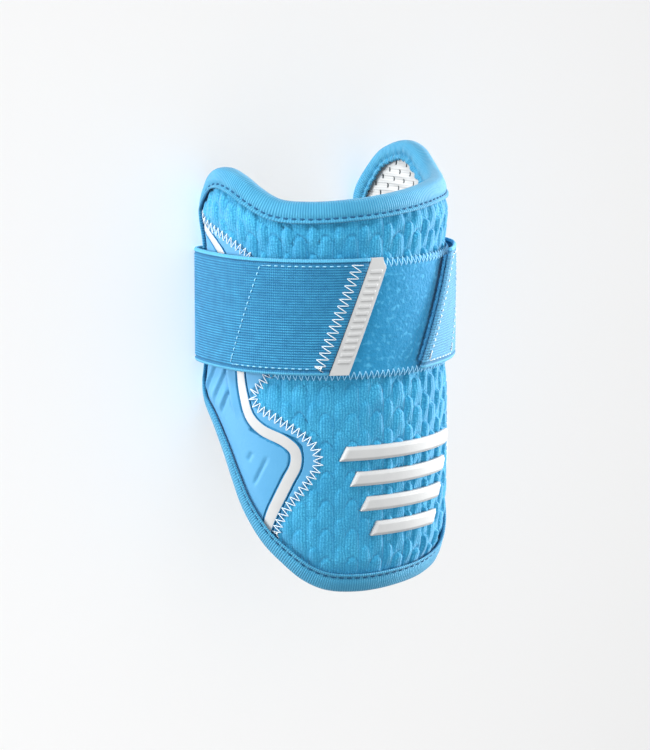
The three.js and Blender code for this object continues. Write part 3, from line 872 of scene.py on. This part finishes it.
def stripe_half_width(y):
    """The stripe is wider near its lower end."""
    return mix(STRIPE_LOW_HALF, STRIPE_HIGH_HALF, ease((y / GUARD_LENGTH - 0.2) / 0.5))


def stretched(line, before=14, after=22, reach=40):
    """A line carried on by some millimetres at both ends, the way that its end stretches point."""
    first, last = line[0] - line[reach], line[-1] - line[-1 - reach]
    first, last = first / np.linalg.norm(first), last / np.linalg.norm(last)
    return np.vstack([line[0] + before * first, line, line[-1] + after * last])


# %% Flames and short grooves of a side pad, each from one pattern point to another
# A flame's last number says to which side of its crease the film swells.
FLAMES = [
    ((0.93, 0.52), (0.953, 0.44), 1),
    ((0.797, 0.53), (0.89, 0.425), 1),
    ((0.72, 0.53), (0.822, 0.41), 1),
    ((0.712, 0.465), (0.764, 0.4), 1),
    ((0.752, 0.53), (0.68, 0.392), -1),
]
SHORT_GROOVES = [
    ((0.602, 0.328), (0.623, 0.304)),
    ((0.534, 0.325), (0.602, 0.245)),
]


FLAME_CREASE, FLAME_CREASE_WIDTH = 0.5, 1.5
FLAME_SWELL, FLAME_WIDTH = 1.2, 5.5
GROOVE_SINK, GROOVE_WIDTH = 0.8, 1.4


def bar_place(x, y, start, finish):
    """Distance of points to one side of a straight bar, and the share of the way along it."""
    a = np.array(start) * (HALF_WRAP, GUARD_LENGTH)
    b = np.array(finish) * (HALF_WRAP, GUARD_LENGTH)
    run = b - a
    share = ((x - a[0]) * run[0] + (y - a[1]) * run[1]) / (run @ run)
    beside = ((y - a[1]) * run[0] - (x - a[0]) * run[1]) / np.linalg.norm(run)
    return beside, share


def side_relief(x, y):
    """Depth of the moulded flames and grooves, less than 0 where they stand up."""
    depth = np.zeros_like(x)
    for start, finish, way in FLAMES:
        beside, share = bar_place(np.abs(x), y, start, finish)
        beside = beside * way
        tip = ease(share / 0.15) * ease((1 - share) / 0.4)
        swell = ease(beside / 0.9) * ease((FLAME_WIDTH - beside) / 5)
        depth += tip * (FLAME_CREASE * ridge(beside, FLAME_CREASE_WIDTH) - FLAME_SWELL * swell)
    for start, finish in SHORT_GROOVES:
        beside, share = bar_place(np.abs(x), y, start, finish)
        ends = ease(share / 0.25) * ease((1 - share) / 0.25)
        depth += GROOVE_SINK * ridge(beside, GROOVE_WIDTH) * ends
    return depth


# %% Helpers for a grid whose columns follow a groove
def slope_at(line, level):
    """How steeply a line rises at a level, as the sine of its angle."""
    run = np.gradient(line, axis=0)
    steep = np.abs(run[:, 1]) / np.linalg.norm(run, axis=1)
    return np.interp(level, line[:, 1], steep)


def between_columns(spot, marks, values):
    """Reads values that are known at some columns, evenly between them."""
    result = np.array(values[0])
    for low, high, a, b in zip(marks, marks[1:], values, values[1:]):
        here = (spot > low) & (spot <= high)
        result[here] = mix(a, b, (spot - low) / (high - low))[here]
    return result


# %% Printing part of a piece dark
def in_groove(x, y):
    return stripe_distance(x, y) < stripe_half_width(y) + GROOVE_GAP + GROOVE_WALL * 0.8


def ink(piece, where):
    """Prints a piece dark where its pattern coordinates say so."""
    mesh = piece.data
    mesh.materials.append(groove_ink)
    flat = np.empty(2 * len(mesh.loops))
    mesh.uv_layers["pattern"].data.foreach_get("uv", flat)
    starts = np.empty(len(mesh.polygons), int)
    counts = np.empty(len(mesh.polygons), int)
    mesh.polygons.foreach_get("loop_start", starts)
    mesh.polygons.foreach_get("loop_total", counts)
    middle = np.add.reduceat(flat.reshape(-1, 2), starts) / counts[:, None] / MM
    mesh.polygons.foreach_set("material_index", where(*middle.T).astype(int))
    return piece


# %% A side pad between its border, its stripe groove and the guard's edge
COLUMNS_INSIDE, COLUMNS_IN_GROOVE, COLUMNS_OUTSIDE = 22, 4, 56
SIDE_PAD_ROWS = 230


def side_pad(side, border, edge):
    inner, outer = reader(border, 0.7), reader(edge, 0.7)
    middle_line = stretched(stripe_lines[side])
    wall_start = COLUMNS_INSIDE
    wall_finish = wall_start + COLUMNS_IN_GROOVE + 2
    columns = wall_finish + COLUMNS_OUTSIDE
    marks = (0, wall_start, wall_start + 1, wall_finish - 1, wall_finish, columns)

    def place(across, along, outward):
        first, last = inner(along), outer(along)
        reach = ease(np.minimum(along, 1 - along) / 0.045)
        level = mix(first[:, 1], last[:, 1], 0.3)
        on_line = np.interp(level, middle_line[:, 1], middle_line[:, 0])
        centre = mix(mix(first[:, 0], last[:, 0], 0.4), on_line, reach)
        half = (stripe_half_width(level) + GROOVE_GAP) / np.maximum(slope_at(middle_line, level), 0.35)
        start = centre - side * half * reach
        finish = centre + side * half * reach
        wall = side * GROOVE_WALL * reach
        spot = np.round(across * columns).astype(int)
        turns = (first[:, 0], start - wall, start, finish, finish + wall, last[:, 0])
        levels = (first[:, 1], level, level, level, level, last[:, 1])
        x, y = between_columns(spot, marks, turns), between_columns(spot, marks, levels)
        distance = edge_distance(x, y)
        sunk = np.where((spot > wall_start) & (spot < wall_finish), GROOVE_DEPTH * reach, 0)
        face = outside_depth(distance) + sunk + seam_sink(x, y)
        face += side_relief(x, y) * ease((distance - TAPE_REACH) / 4)
        back = inside_depth(distance) - LINING_THICKNESS - CLEARANCE
        return wrap(x, y, mix(back, face, outward)), (x, y)

    return ink(slab("side_pad_film_" + SIDE_NAMES[side], columns, SIDE_PAD_ROWS, place, film), in_groove)


left_pad = settle(side_pad(-1, left_border, left_edge), "moulded_foam", "side_pad_left")
right_pad = settle(side_pad(1, right_border, right_edge), "moulded_foam", "side_pad_right")

# %% [markdown]
# ## Stripes
#
# The stripe is a strip of white rubber laid in its groove, slightly domed, with a thin dark line printed
# along both its edges. It is swept along the same line as the groove.

# %% Stripe along its groove, with its edges printed dark
STRIPE_COLUMNS, STRIPE_STEPS = 14, 150
STRIPE_DOME = 0.18
STRIPE_SINK = 0.1
INKED_EDGE = 0.25


def on_stripe_edge(x, y):
    return stripe_distance(x, y) > stripe_half_width(y) - INKED_EDGE


def stripe(side):
    line = stripe_lines[side]
    bare = line[edge_distance(*line.T) > TAPE_REACH - 3]
    path = evenly(bare, STRIPE_STEPS)
    across_path = across_of(path)

    def place(across, along, outward):
        spot = np.round(along * STRIPE_STEPS).astype(int)
        centre, aside = path[spot], across_path[spot]
        half = stripe_half_width(centre[:, 1])
        shift = (0.5 - across) * 2 * half
        x, y = (centre + shift[:, None] * aside).T
        dome = STRIPE_DOME * (1 - (2 * across - 1) ** 2) ** 0.5
        base = outside_depth(edge_distance(x, y))
        return wrap(x, y, base + mix(GROOVE_DEPTH - STRIPE_SINK, STRIPE_SINK - dome, outward)), (x, y)

    name = "stripe_rubber_" + SIDE_NAMES[side]
    return ink(slab(name, STRIPE_COLUMNS, STRIPE_STEPS, place, rubber), on_stripe_edge)


for side, end in SIDE_NAMES.items():
    settle(stripe(side), "white_rubber", "stripe_" + end)

# %% [markdown]
# ## Lining
#
# The lining shows inside the far lobe and through the opening: a thin padded net with slanted pleats. It
# is cut to the same outline, so each of its columns spans from the lower to the upper edge.

# %% Lining between the lower and the upper edge
def span_at(loop, x):
    """Lowest and highest point of a closed line at each place across."""
    ordered = loop[:-1]
    low_run = ordered[ordered[:, 0].argmin():ordered[:, 0].argmax() + 1]
    high_run = np.vstack([ordered[ordered[:, 0].argmax():], ordered[:ordered[:, 0].argmin() + 1]])[::-1]
    lows = np.interp(x, np.maximum.accumulate(low_run[:, 0]), low_run[:, 1])
    highs = np.interp(x, np.maximum.accumulate(high_run[:, 0]), high_run[:, 1])
    return lows, highs


LINING_COLUMNS, LINING_ROWS = 130, 210
LINING_CROWD = 0.44 * math.pi
LINING_INSET = 0.9998
PLEAT_DEPTH = 0.3
PUFF_DEPTH, PUFF_PITCH, PUFF_SLANT = 0.3, 26, 0.8


def lining_row(x, y):
    """Counts the lining's pleats, which slant a little across it."""
    return (y + LINING_SLANT * x) / LINING_ROW


def crowded(share):
    """A share of the way whose steps crowd towards both ends, where the lining's corners are round."""
    return 0.5 + 0.5 * np.sin((2 * share - 1) * LINING_CROWD) / math.sin(LINING_CROWD)


def lining():
    left, right = pad_edge[:, 0].min() * LINING_INSET, pad_edge[:, 0].max() * LINING_INSET

    def place(across, along, outward):
        x = mix(left, right, crowded(across))
        low, high = span_at(pad_edge, x)
        y = mix(low, high, crowded(along))
        distance = edge_distance(x, y)
        away = ease((distance - 6) / 10)
        pleat = PLEAT_DEPTH * np.cos(2 * math.pi * lining_row(x, y))
        puff = PUFF_DEPTH * np.cos(2 * math.pi * (x - PUFF_SLANT * y) / PUFF_PITCH)
        inner = inside_depth(distance) + (pleat + puff) * away
        outer = inside_depth(distance) - LINING_THICKNESS
        return wrap(x, y, mix(inner, outer, outward)), (x, y)

    return slab("lining_net", LINING_COLUMNS, LINING_ROWS, place, net)


cloth = settle(lining(), "lining_mesh", "lining")

# %% [markdown]
# ## Edge tape
#
# The binding is folded over the rim and sewn through: a smooth roll, then the row of stitches in a shallow
# trough, then a narrow raised lip against the pad. It is a section swept round the outline, which a grid
# gives when both its ends meet. On the inside the tape puckers where it is gathered round the curves.

# %% Section of the tape, from its outer lip over the rim to its inner lip
STITCH_INSET = 6.9
RIM_MIDDLE = (outside_depth(0) + inside_depth(0)) / 2
TAPE_FACE = TAPE_SLACK + TAPE_THICKNESS


# Each row of the section has its inset from the edge and its lift over the tape's level.
OUTER_ROWS = [
    (8.75, -0.5), (8.5, 0.1), (8.05, 0.3), (7.6, 0.12), (7.25, -0.4), (STITCH_INSET, -0.5), (6.5, -0.25),
    (5.8, 0.2), (4.6, 0.45), (3.4, 0.4), (2.2, 0.0),
]
INNER_ROWS = [
    (2.2, 0.0), (3.2, 0.3), (4.4, 0.3), (5.4, 0.0), (6.0, -0.4), (6.4, -0.45), (STITCH_INSET, 0.1),
    (7.5, 0.7), (8.2, 0.65), (8.7, -0.1),
]
ROLL_ANGLES = (25, 45, 65, 90, 115, 135, 155)
ROLL_REACH = 2.2
HEM = 2.0
TAPE_STEPS = 560


def tape_section():
    """Rows of inset and depth round the section. The last ones run back along the inside of the fold."""
    rows = [(TAPE_REACH, outside_depth(TAPE_REACH) - TAPE_SLACK + 0.2)]
    rows += [(inset, outside_depth(inset) - TAPE_FACE - lift) for inset, lift in OUTER_ROWS]
    outer = outside_depth(ROLL_REACH) - TAPE_FACE
    inner = inside_depth(ROLL_REACH) + TAPE_FACE
    for angle in np.radians(ROLL_ANGLES):
        rows.append((ROLL_REACH * (1 - math.sin(angle)), mix(outer, inner, 0.5 - 0.5 * math.cos(angle))))
    rows += [(inset, inside_depth(inset) + TAPE_FACE + lift) for inset, lift in INNER_ROWS]
    rows.append((TAPE_REACH, inside_depth(TAPE_REACH) + TAPE_SLACK - 0.2))
    rows.append((HEM, inside_depth(HEM) + TAPE_SLACK - 0.1))
    rows.append((TAPE_THICKNESS + 0.2, RIM_MIDDLE))
    rows.append((HEM, outside_depth(HEM) - TAPE_SLACK + 0.1))
    rows.append(rows[0])
    return np.array(rows)


# %% The tape swept round the outline, puckered on its inside
PUCKER, PUCKER_PITCH = 0.45, 5.4
GATHER, GATHER_PITCH = 0.4, 3.9


def edge_tape():
    section = tape_section()
    count = len(section) - 1
    path = evenly(outline, TAPE_STEPS)
    steps = np.linspace(0, 1, TAPE_STEPS + 1)
    aside = read_line(outline_across, np.linspace(0, 1, len(outline)), steps)
    aside /= np.linalg.norm(aside, axis=1, keepdims=True)
    girth = lengths_along(section)
    inner_start = len(OUTER_ROWS) + len(ROLL_ANGLES) + 1
    inner_finish = inner_start + len(INNER_ROWS) + 1
    form = bmesh.new()
    bmesh.ops.create_grid(form, x_segments=TAPE_STEPS, y_segments=count, size=0.5)

    def place(across, along, outward):
        spot = np.round(across * TAPE_STEPS).astype(int) % TAPE_STEPS
        ring = np.round(along * count).astype(int)
        inset, depth = section[ring].T
        run = across * outline_length
        inner = (ring >= inner_start) & (ring < inner_finish)
        pucker = PUCKER * np.sin(2 * math.pi * run / PUCKER_PITCH + 1.3 * np.sin(run / 7.1))
        depth = depth + np.where(inner, pucker * mix(0.15, 1, ease((inset - 3) / 4)), 0)
        wobble = GATHER * np.sin(2 * math.pi * run / GATHER_PITCH + 1.7 * np.sin(run / 5.3))
        gathered = np.where(inner & (inset > 6.5), wobble, 0)
        x, y = (path[spot] + (inset + gathered)[:, None] * aside[spot]).T
        return wrap(x, y, depth), (run, girth[ring])

    return carried("edge_tape_fold", form, place, tape_cloth)


binding = settle(edge_tape(), "edge_tape", "edge_tape")

# %% [markdown]
# ## Loop band
#
# The band that the strap's hooks grip is brushed plush, sewn flat round the outside. Its nap is too fine
# for shape, so the mesh gives only its soft edges and slight waves, and the finish gives the nap.

# %% Loop band
LOOP_START = -0.53 * HALF_WRAP
LOOP_FINISH = 0.82 * HALF_WRAP
LOOP_WIDTH = 49.5
LOOP_DROP = 2
LOOP_LOW = STRAP_CENTRE - STRAP_WIDTH / 2 - LOOP_DROP
LOOP_WAVE = 0.12
LOOP_EDGE = 1.6
LOOP_COLUMNS, LOOP_ROWS = 200, 64


def loop_face(x, y):
    """Depth of the band's face. It tucks in at its edges."""
    inwards = np.minimum.reduce([x - LOOP_START, LOOP_FINISH - x, y - LOOP_LOW, LOOP_LOW + LOOP_WIDTH - y])
    wave = LOOP_WAVE * np.sin(x / 3.1 + np.sin(y / 4.3)) * np.sin(y / 3.7)
    return -CLEARANCE - LOOP_THICKNESS * mix(0.35, 1, ease(inwards / LOOP_EDGE)) - wave * ease(inwards / 4)


def loop_band():
    def place(across, along, outward):
        x = mix(LOOP_START, LOOP_FINISH, across)
        y = LOOP_LOW + along * LOOP_WIDTH
        return wrap(x, y, mix(-CLEARANCE, loop_face(x, y), outward)), (x, y)

    return slab("loop_band_plush", LOOP_COLUMNS, LOOP_ROWS, place, plush)


band = settle(loop_band(), "loop_pile", "loop_band")

# %% [markdown]
# ## Strap
#
# The elastic is woven with covered rubber threads along its length, which stand up as fine ribs, and firmer
# selvedges at both edges. From its slanted front end it runs round the far side, flat under the arm opening
# and back over the side. Its path repeats the solid's: a lift over the padding, never below the floor.

# %% The strap's path
SIDE_END = (0.03, 0.225)
FRONT_END = (-0.317, -0.17)
OVER_HOOKS = 3 * CLEARANCE + LOOP_THICKNESS + HOOK_THICKNESS
OVER_LOOP = 2 * CLEARANCE + LOOP_THICKNESS
OVER_TAPE = TAPE_THICKNESS + TAPE_SLACK
LIFTS = [
    (SIDE_END[0], OVER_HOOKS), (0.44, OVER_HOOKS), (0.58, OVER_LOOP), (0.82, OVER_LOOP), (0.9, OVER_TAPE),
    (WHOLE_TURN - 0.86, OVER_TAPE), (WHOLE_TURN - 0.56, OVER_HOOKS), (WHOLE_TURN + FRONT_END[1], OVER_HOOKS),
]
SIDE_END_LIFT = 1.1
SIDE_END_CURL = 14


def lift_at(place):
    """Height of the strap's underside over the padding, eased between the rows."""
    lift = np.full_like(place, LIFTS[-1][1])
    for (start, low), (end, high) in reversed(list(zip(LIFTS, LIFTS[1:]))):
        share = ease((place - start) / (end - start))
        lift = np.where(place < end, mix(low, high, share), lift)
    return lift


def side_end_at(along):
    return mix(SIDE_END[0], SIDE_END[1], along)


def front_end_at(along):
    return WHOLE_TURN + mix(FRONT_END[0], FRONT_END[1], along)


def strap_lift(place, along):
    from_end = (place - side_end_at(along)) * HALF_WRAP
    return lift_at(place) + SIDE_END_LIFT * ease(1 - from_end / SIDE_END_CURL)


def level_on_strap(along):
    """The pattern level at a share of the strap's width."""
    return STRAP_CENTRE + (along - 0.5) * STRAP_WIDTH


def strap_point(place, y, height, floor=0):
    """A point over the squeezed padding, held above a floor on which the strap rounds down."""
    point = oval_point(place * HALF_WRAP / MM_PER_RADIAN, y, STRAP_SQUEEZE - height)
    near = np.maximum(STRAP_BEND - np.abs(point[..., 2] - floor), 0) / STRAP_BEND
    point[..., 2] = np.maximum(point[..., 2], floor) + near * near * STRAP_BEND / 4
    return point


# %% Ribs and selvedges of the elastic
RIB_DEPTH = 0.3
TROUGH_DEPTH = 0.6
STRAP_ROUNDING = 0.5
STRAP_COLUMNS, STRAP_ROWS = 150, 245
END_SHARE = 0.2


def elastic_relief(aside):
    """Drop of the elastic's face, by the distance from its nearer edge."""
    rib = RIB_DEPTH * (0.5 - 0.5 * np.cos(2 * math.pi * (aside - SELVEDGE) / RIB_PITCH))
    inside_edge = ease((aside - SELVEDGE) / 0.5)
    trough = TROUGH_DEPTH * ridge(aside - SELVEDGE, 0.6)
    return rib * inside_edge + trough + STRAP_ROUNDING * (1 - ease(aside / 0.8))


def strap():
    """The strap's ends slant, and its columns turn upright over a share of its length from each end."""
    side_middle, front_middle = side_end_at(0.5), front_end_at(0.5)

    def place(across, along, outward):
        side_slant = (side_end_at(along) - side_middle) * np.maximum(0, 1 - across / END_SHARE)
        front_slant = (front_end_at(along) - front_middle) * np.maximum(0, 1 - (1 - across) / END_SHARE)
        spot = mix(side_middle, front_middle, across) + side_slant + front_slant
        y = level_on_strap(along)
        drop = elastic_relief(STRAP_WIDTH * np.minimum(along, 1 - along))
        height = strap_lift(spot, along) + mix(drop * 0.5, STRAP_THICKNESS - drop, outward)
        points = strap_point(spot, y, height, mix(STRAP_THICKNESS, 0, outward))
        return points, (spot * HALF_WRAP, y)

    return slab("strap_elastic", STRAP_COLUMNS, STRAP_ROWS, place, elastic)


ribbon = settle(strap(), "elastic", "strap")

# %% [markdown]
# ## Hook patches and pull tab
#
# Hook tape backs both ends of the strap, and its dark edge shows past the side end. The tab at the front
# end is moulded rubber, to be pinched and pulled. Plain grip ribs stand on it, where such tabs are moulded.

# %% Hook patches
HOOK_MARGIN = 3 / STRAP_WIDTH
HOOK_PEEK = 1.2
SIDE_PATCH_LENGTH = 26
FRONT_PATCH_START = (-0.69, -0.54)
FRAY = 0.25
PATCH_COLUMNS, PATCH_ROWS = 60, 120


def hook_patch(name, start_at, finish_at):
    """A patch between two slanted ends, which fray a little."""
    def place(across, along, outward):
        level = mix(HOOK_MARGIN, 1 - HOOK_MARGIN, along)
        spot = mix(start_at(level), finish_at(level), across)
        fray = FRAY * np.sin(level * 170) * np.sin(level * 71) * (np.abs(across - 0.5) > 0.499)
        y = level_on_strap(level)
        height = strap_lift(spot, level) - CLEARANCE - (1 - outward) * HOOK_THICKNESS
        return strap_point(spot + fray / HALF_WRAP, y, height), (spot * HALF_WRAP, y)

    return slab(name, PATCH_COLUMNS, PATCH_ROWS, place, hooks)


side_hooks = settle(
    hook_patch(
        "side_hooks",
        lambda along: side_end_at(along) - HOOK_PEEK / HALF_WRAP,
        lambda along: side_end_at(along) + SIDE_PATCH_LENGTH / HALF_WRAP,
    ),
    "hook_tape", "hook_patch_side",
)
front_hooks = settle(
    hook_patch(
        "front_hooks",
        lambda along: WHOLE_TURN + mix(FRONT_PATCH_START[0], FRONT_PATCH_START[1], along),
        lambda along: front_end_at(along) - CLEARANCE / HALF_WRAP,
    ),
    "hook_tape", "hook_patch_front",
)

# %% Pull tab with plain grip ribs
TAB_WIDTH = 8
TAB_THICKNESS = 2.4
TAB_UNDERSIDE = 0.9
TAB_COLUMNS, TAB_ROWS = 24, 240
GRIP_RIBS = 17
GRIP_HEIGHT = 0.5
GRIP_HALF_WIDTH = 0.34
GRIP_SPAN = 0.42


def pull_tab():
    """The tab is cut narrower at its upper corner. Its grip ribs stop short of its edges."""
    def place(across, along, outward):
        corner = ease((along - 0.9) / 0.1) * 0.35
        spot = front_end_at(along) + (CLEARANCE + across * TAB_WIDTH * (1 - corner)) / HALF_WRAP
        y = level_on_strap(along)
        bars = ease((np.cos(2 * math.pi * along * GRIP_RIBS) + 0.2) / 0.6)
        bars *= ease((GRIP_HALF_WIDTH - np.abs(across - 0.5)) / 0.08) * (np.abs(along - 0.5) < GRIP_SPAN)
        top = TAB_THICKNESS - GRIP_HEIGHT * (1 - bars)
        height = OVER_LOOP + TAB_UNDERSIDE - CLEARANCE + outward * top
        return strap_point(spot, y, height), (across * TAB_WIDTH, y)

    return round_edges(slab("pull_tab_rubber", TAB_COLUMNS, TAB_ROWS, place, rubber), 0.5, 3)


tab = settle(pull_tab(), "white_rubber", "pull_tab")

# %% [markdown]
# ## Raised ribs on the front
#
# Four plain bars of the same rubber are fused to the knit. Each has a level top and sloping flanks, which
# catch the light along their edges.

# %% Ribs with sloping flanks
RIB_SINK = 0.9
RIB_LEAN = 3
RIB_SPACING = 11
LONGEST_RIB = 62
RIB_STEP = 9
RIB_COUNT = 4
RIB_FLANK = 1.3
RIB_COLUMNS, RIB_ROWS = 96, 24


def front_rib(index):
    length = LONGEST_RIB - RIB_STEP * index

    def place(across, along, outward):
        x = (across - 0.5) * length + (along - 0.5) * RIB_LEAN
        y = RIB_LEVEL - RIB_SPACING * index + (along - 0.5) * RIB_HEIGHT
        from_side, from_end = np.minimum(along, 1 - along), np.minimum(across, 1 - across)
        from_edge = np.minimum(from_side * RIB_HEIGHT, from_end * length)
        rise = RIB_THICKNESS * mix(0.45, 1, ease(from_edge / RIB_FLANK))
        return wrap(x, y, mix(RIB_SINK, -CLEARANCE - rise, outward)), (x, y)

    return slab("front_rib_rubber_%d" % (index + 1), RIB_COLUMNS, RIB_ROWS, place, rubber)


for index in range(RIB_COUNT):
    settle(front_rib(index), "white_rubber", "front_rib_%d" % (index + 1))

# %% [markdown]
# ## Stitches
#
# A stitch is a short length of thread that rises from one needle hole and dives into the next. One small
# capsule is copied for each, then all are carried on to the cloth together, so a seam of hundreds stays
# light. A zigzag is a row of slanted stitches, and a lock stitch is a row of dashes with gaps.

# %% A seam of stitches between pairs of pattern points
def seam(name, starts, finishes, thickness, lift, surface, material, sink=0.25):
    """Stitches from starts to finishes. surface carries pattern points at a height to their places."""
    form = bmesh.new()
    bmesh.ops.create_uvsphere(form, u_segments=6, v_segments=7, radius=0.5)
    bmesh.ops.rotate(form, verts=form.verts, matrix=Matrix.Rotation(math.pi / 2, 3, "Y"))
    each = len(form.verts)
    first = form.verts[:] + form.edges[:] + form.faces[:]
    for _ in range(len(starts) - 1):
        bmesh.ops.duplicate(form, geom=first)
    run = finishes - starts
    length = np.linalg.norm(run, axis=1)

    def place(across, along, outward):
        which = np.arange(len(across)) // each
        share, aside = 0.5 + 0.5 * np.sin((across - 0.5) * math.pi), along - 0.5
        forward = run[which] / length[which, None]
        beside = np.stack([-forward[:, 1], forward[:, 0]], axis=1)
        fat = thickness * (1 - 0.35 * (2 * share - 1) ** 4)
        spot = starts[which] + run[which] * share[:, None] + beside * (aside * fat)[:, None]
        arch = lift * (1 - (2 * share - 1) ** 2) - sink * (2 * share - 1) ** 4
        return surface(spot[:, 0], spot[:, 1], arch + outward * fat), (share * length[which], aside)

    return carried(name, form, place, material)


def dashes(line, pitch, gap, offset=0.0):
    """Starts and ends of stitches along a line of pattern points."""
    run = lengths_along(line)
    count = int(run[-1] // pitch)
    at = (np.arange(count) + 0.5) * (run[-1] / count) + offset
    reach = (pitch - gap) / 2
    return read_line(line, run, at - reach), read_line(line, run, at + reach)


def zigzag(line, width, pitch):
    """Starts and ends of slanted stitches that swing from side to side of a line."""
    count = int(lengths_along(line)[-1] / (pitch / 2))
    points = evenly(line, count)
    swing = width / 2 * np.where(np.arange(count + 1) % 2, 1, -1)
    marks = points + swing[:, None] * across_of(points)
    return marks[:-1], marks[1:]


# %% Surfaces that the seams lie on
THREAD_SINK = 0.1


def on_pads(x, y, height):
    distance = edge_distance(x, y)
    return wrap(x, y, outside_depth(distance) + 0.45 * seam_sink(x, y) - height)


def on_tape(x, y, height):
    inset = edge_distance(x, y)
    return wrap(x, y, outside_depth(inset) - TAPE_FACE + 0.4 - height)


def in_tape(x, y, height):
    inset = edge_distance(x, y)
    return wrap(x, y, inside_depth(inset) + TAPE_FACE - 0.25 + height)


def on_band(x, y, height):
    return wrap(x, y, loop_face(x, y) - height)


def on_strap(x, y, height):
    """x runs round the arm in millimetres, from the crown on past the opening."""
    along = (y - STRAP_CENTRE) / STRAP_WIDTH + 0.5
    spot = x / HALF_WRAP
    return strap_point(spot, y, strap_lift(spot, along) + STRAP_THICKNESS - THREAD_SINK + height)


# %% Zigzags along the borders of the mesh pad
ZIGZAG_PITCH = 2.9
ZIGZAG_THREAD = 0.43
for side, end in SIDE_NAMES.items():
    border = left_border if side < 0 else right_border
    bare = border[edge_distance(*border.T) > TAPE_REACH]
    starts, finishes = zigzag(bare, 4.6, ZIGZAG_PITCH)
    settle(seam("border_zigzag_" + end, starts, finishes, ZIGZAG_THREAD, 0.25, on_pads, white_thread), None)

# %% Lock stitch round the edge tape, outside and inside
TAPE_STITCH = 3.6
trough = evenly(outline + STITCH_INSET * outline_across, OUTLINE_STEPS)
starts, finishes = dashes(trough, TAPE_STITCH, 1.0)
settle(seam("tape_stitches_outside", starts, finishes, 0.7, 0.15, on_tape, dark_thread), None)
starts, finishes = dashes(trough, TAPE_STITCH, 1.2, TAPE_STITCH / 2)
settle(seam("tape_stitches_inside", starts, finishes, 0.5, 0.1, in_tape, middle_thread), None)

# %% Zigzags along both edges of the loop band
SEAM_ALLOWANCE = 1.2
for name, level in (("low", LOOP_LOW + SEAM_ALLOWANCE), ("high", LOOP_LOW + LOOP_WIDTH - SEAM_ALLOWANCE)):
    line = np.array([(LOOP_START + 1, level), (LOOP_FINISH - 1, level)])
    starts, finishes = zigzag(evenly(line, 400), 4.0, 2.6)
    settle(seam("band_zigzag_" + name, starts, finishes, 0.4, 0.3, on_band, pale_thread), None)

# %% Seams of the strap's two ends
STRAP_STITCH, STRAP_STITCH_GAP = 2.6, 0.9
BOX_LOW, BOX_HIGH = 0.06, 0.94
FRONT_BOX = (44, 8)
SIDE_BOX = (3, 24)


def strap_line(end_at, way, *marks):
    """A line through marks, each a distance from an end of the strap and a share of its width."""
    rows = [(end_at(along) * HALF_WRAP + way * apart, level_on_strap(along)) for apart, along in marks]
    return evenly(np.array(rows), 300)


def box_seams(name, end_at, way, sides, thickness, lift, thread):
    """Dashed lines of a box sewn near an end of the strap."""
    for side, (from_mark, to_mark) in sides.items():
        starts, finishes = dashes(strap_line(end_at, way, from_mark, to_mark), STRAP_STITCH, STRAP_STITCH_GAP)
        settle(seam(name + "_" + side, starts, finishes, thickness, lift, on_strap, thread), None)


starts, finishes = zigzag(strap_line(front_end_at, -1, (4.6, 0.04), (4.6, 0.96)), 5.0, ZIGZAG_PITCH)
settle(seam("tab_zigzag", starts, finishes, ZIGZAG_THREAD, 0.3, on_strap, white_thread), None)
far, near = FRONT_BOX
box_seams("strap_box", front_end_at, -1, {
    "side": ((far, BOX_LOW), (far, BOX_HIGH)),
    "high": ((far, BOX_HIGH), (near, BOX_HIGH)),
    "low": ((far, BOX_LOW), (near, BOX_LOW)),
}, 0.45, 0.2, pale_thread)
near, far = SIDE_BOX
box_seams("side_box", side_end_at, 1, {
    "near": ((near, BOX_LOW), (near, BOX_HIGH)),
    "high": ((near, BOX_HIGH), (far, BOX_HIGH)),
    "low": ((near, BOX_LOW), (far, BOX_LOW)),
    "far": ((far, BOX_LOW), (far, BOX_HIGH)),
}, 0.5, 0.35, white_thread)
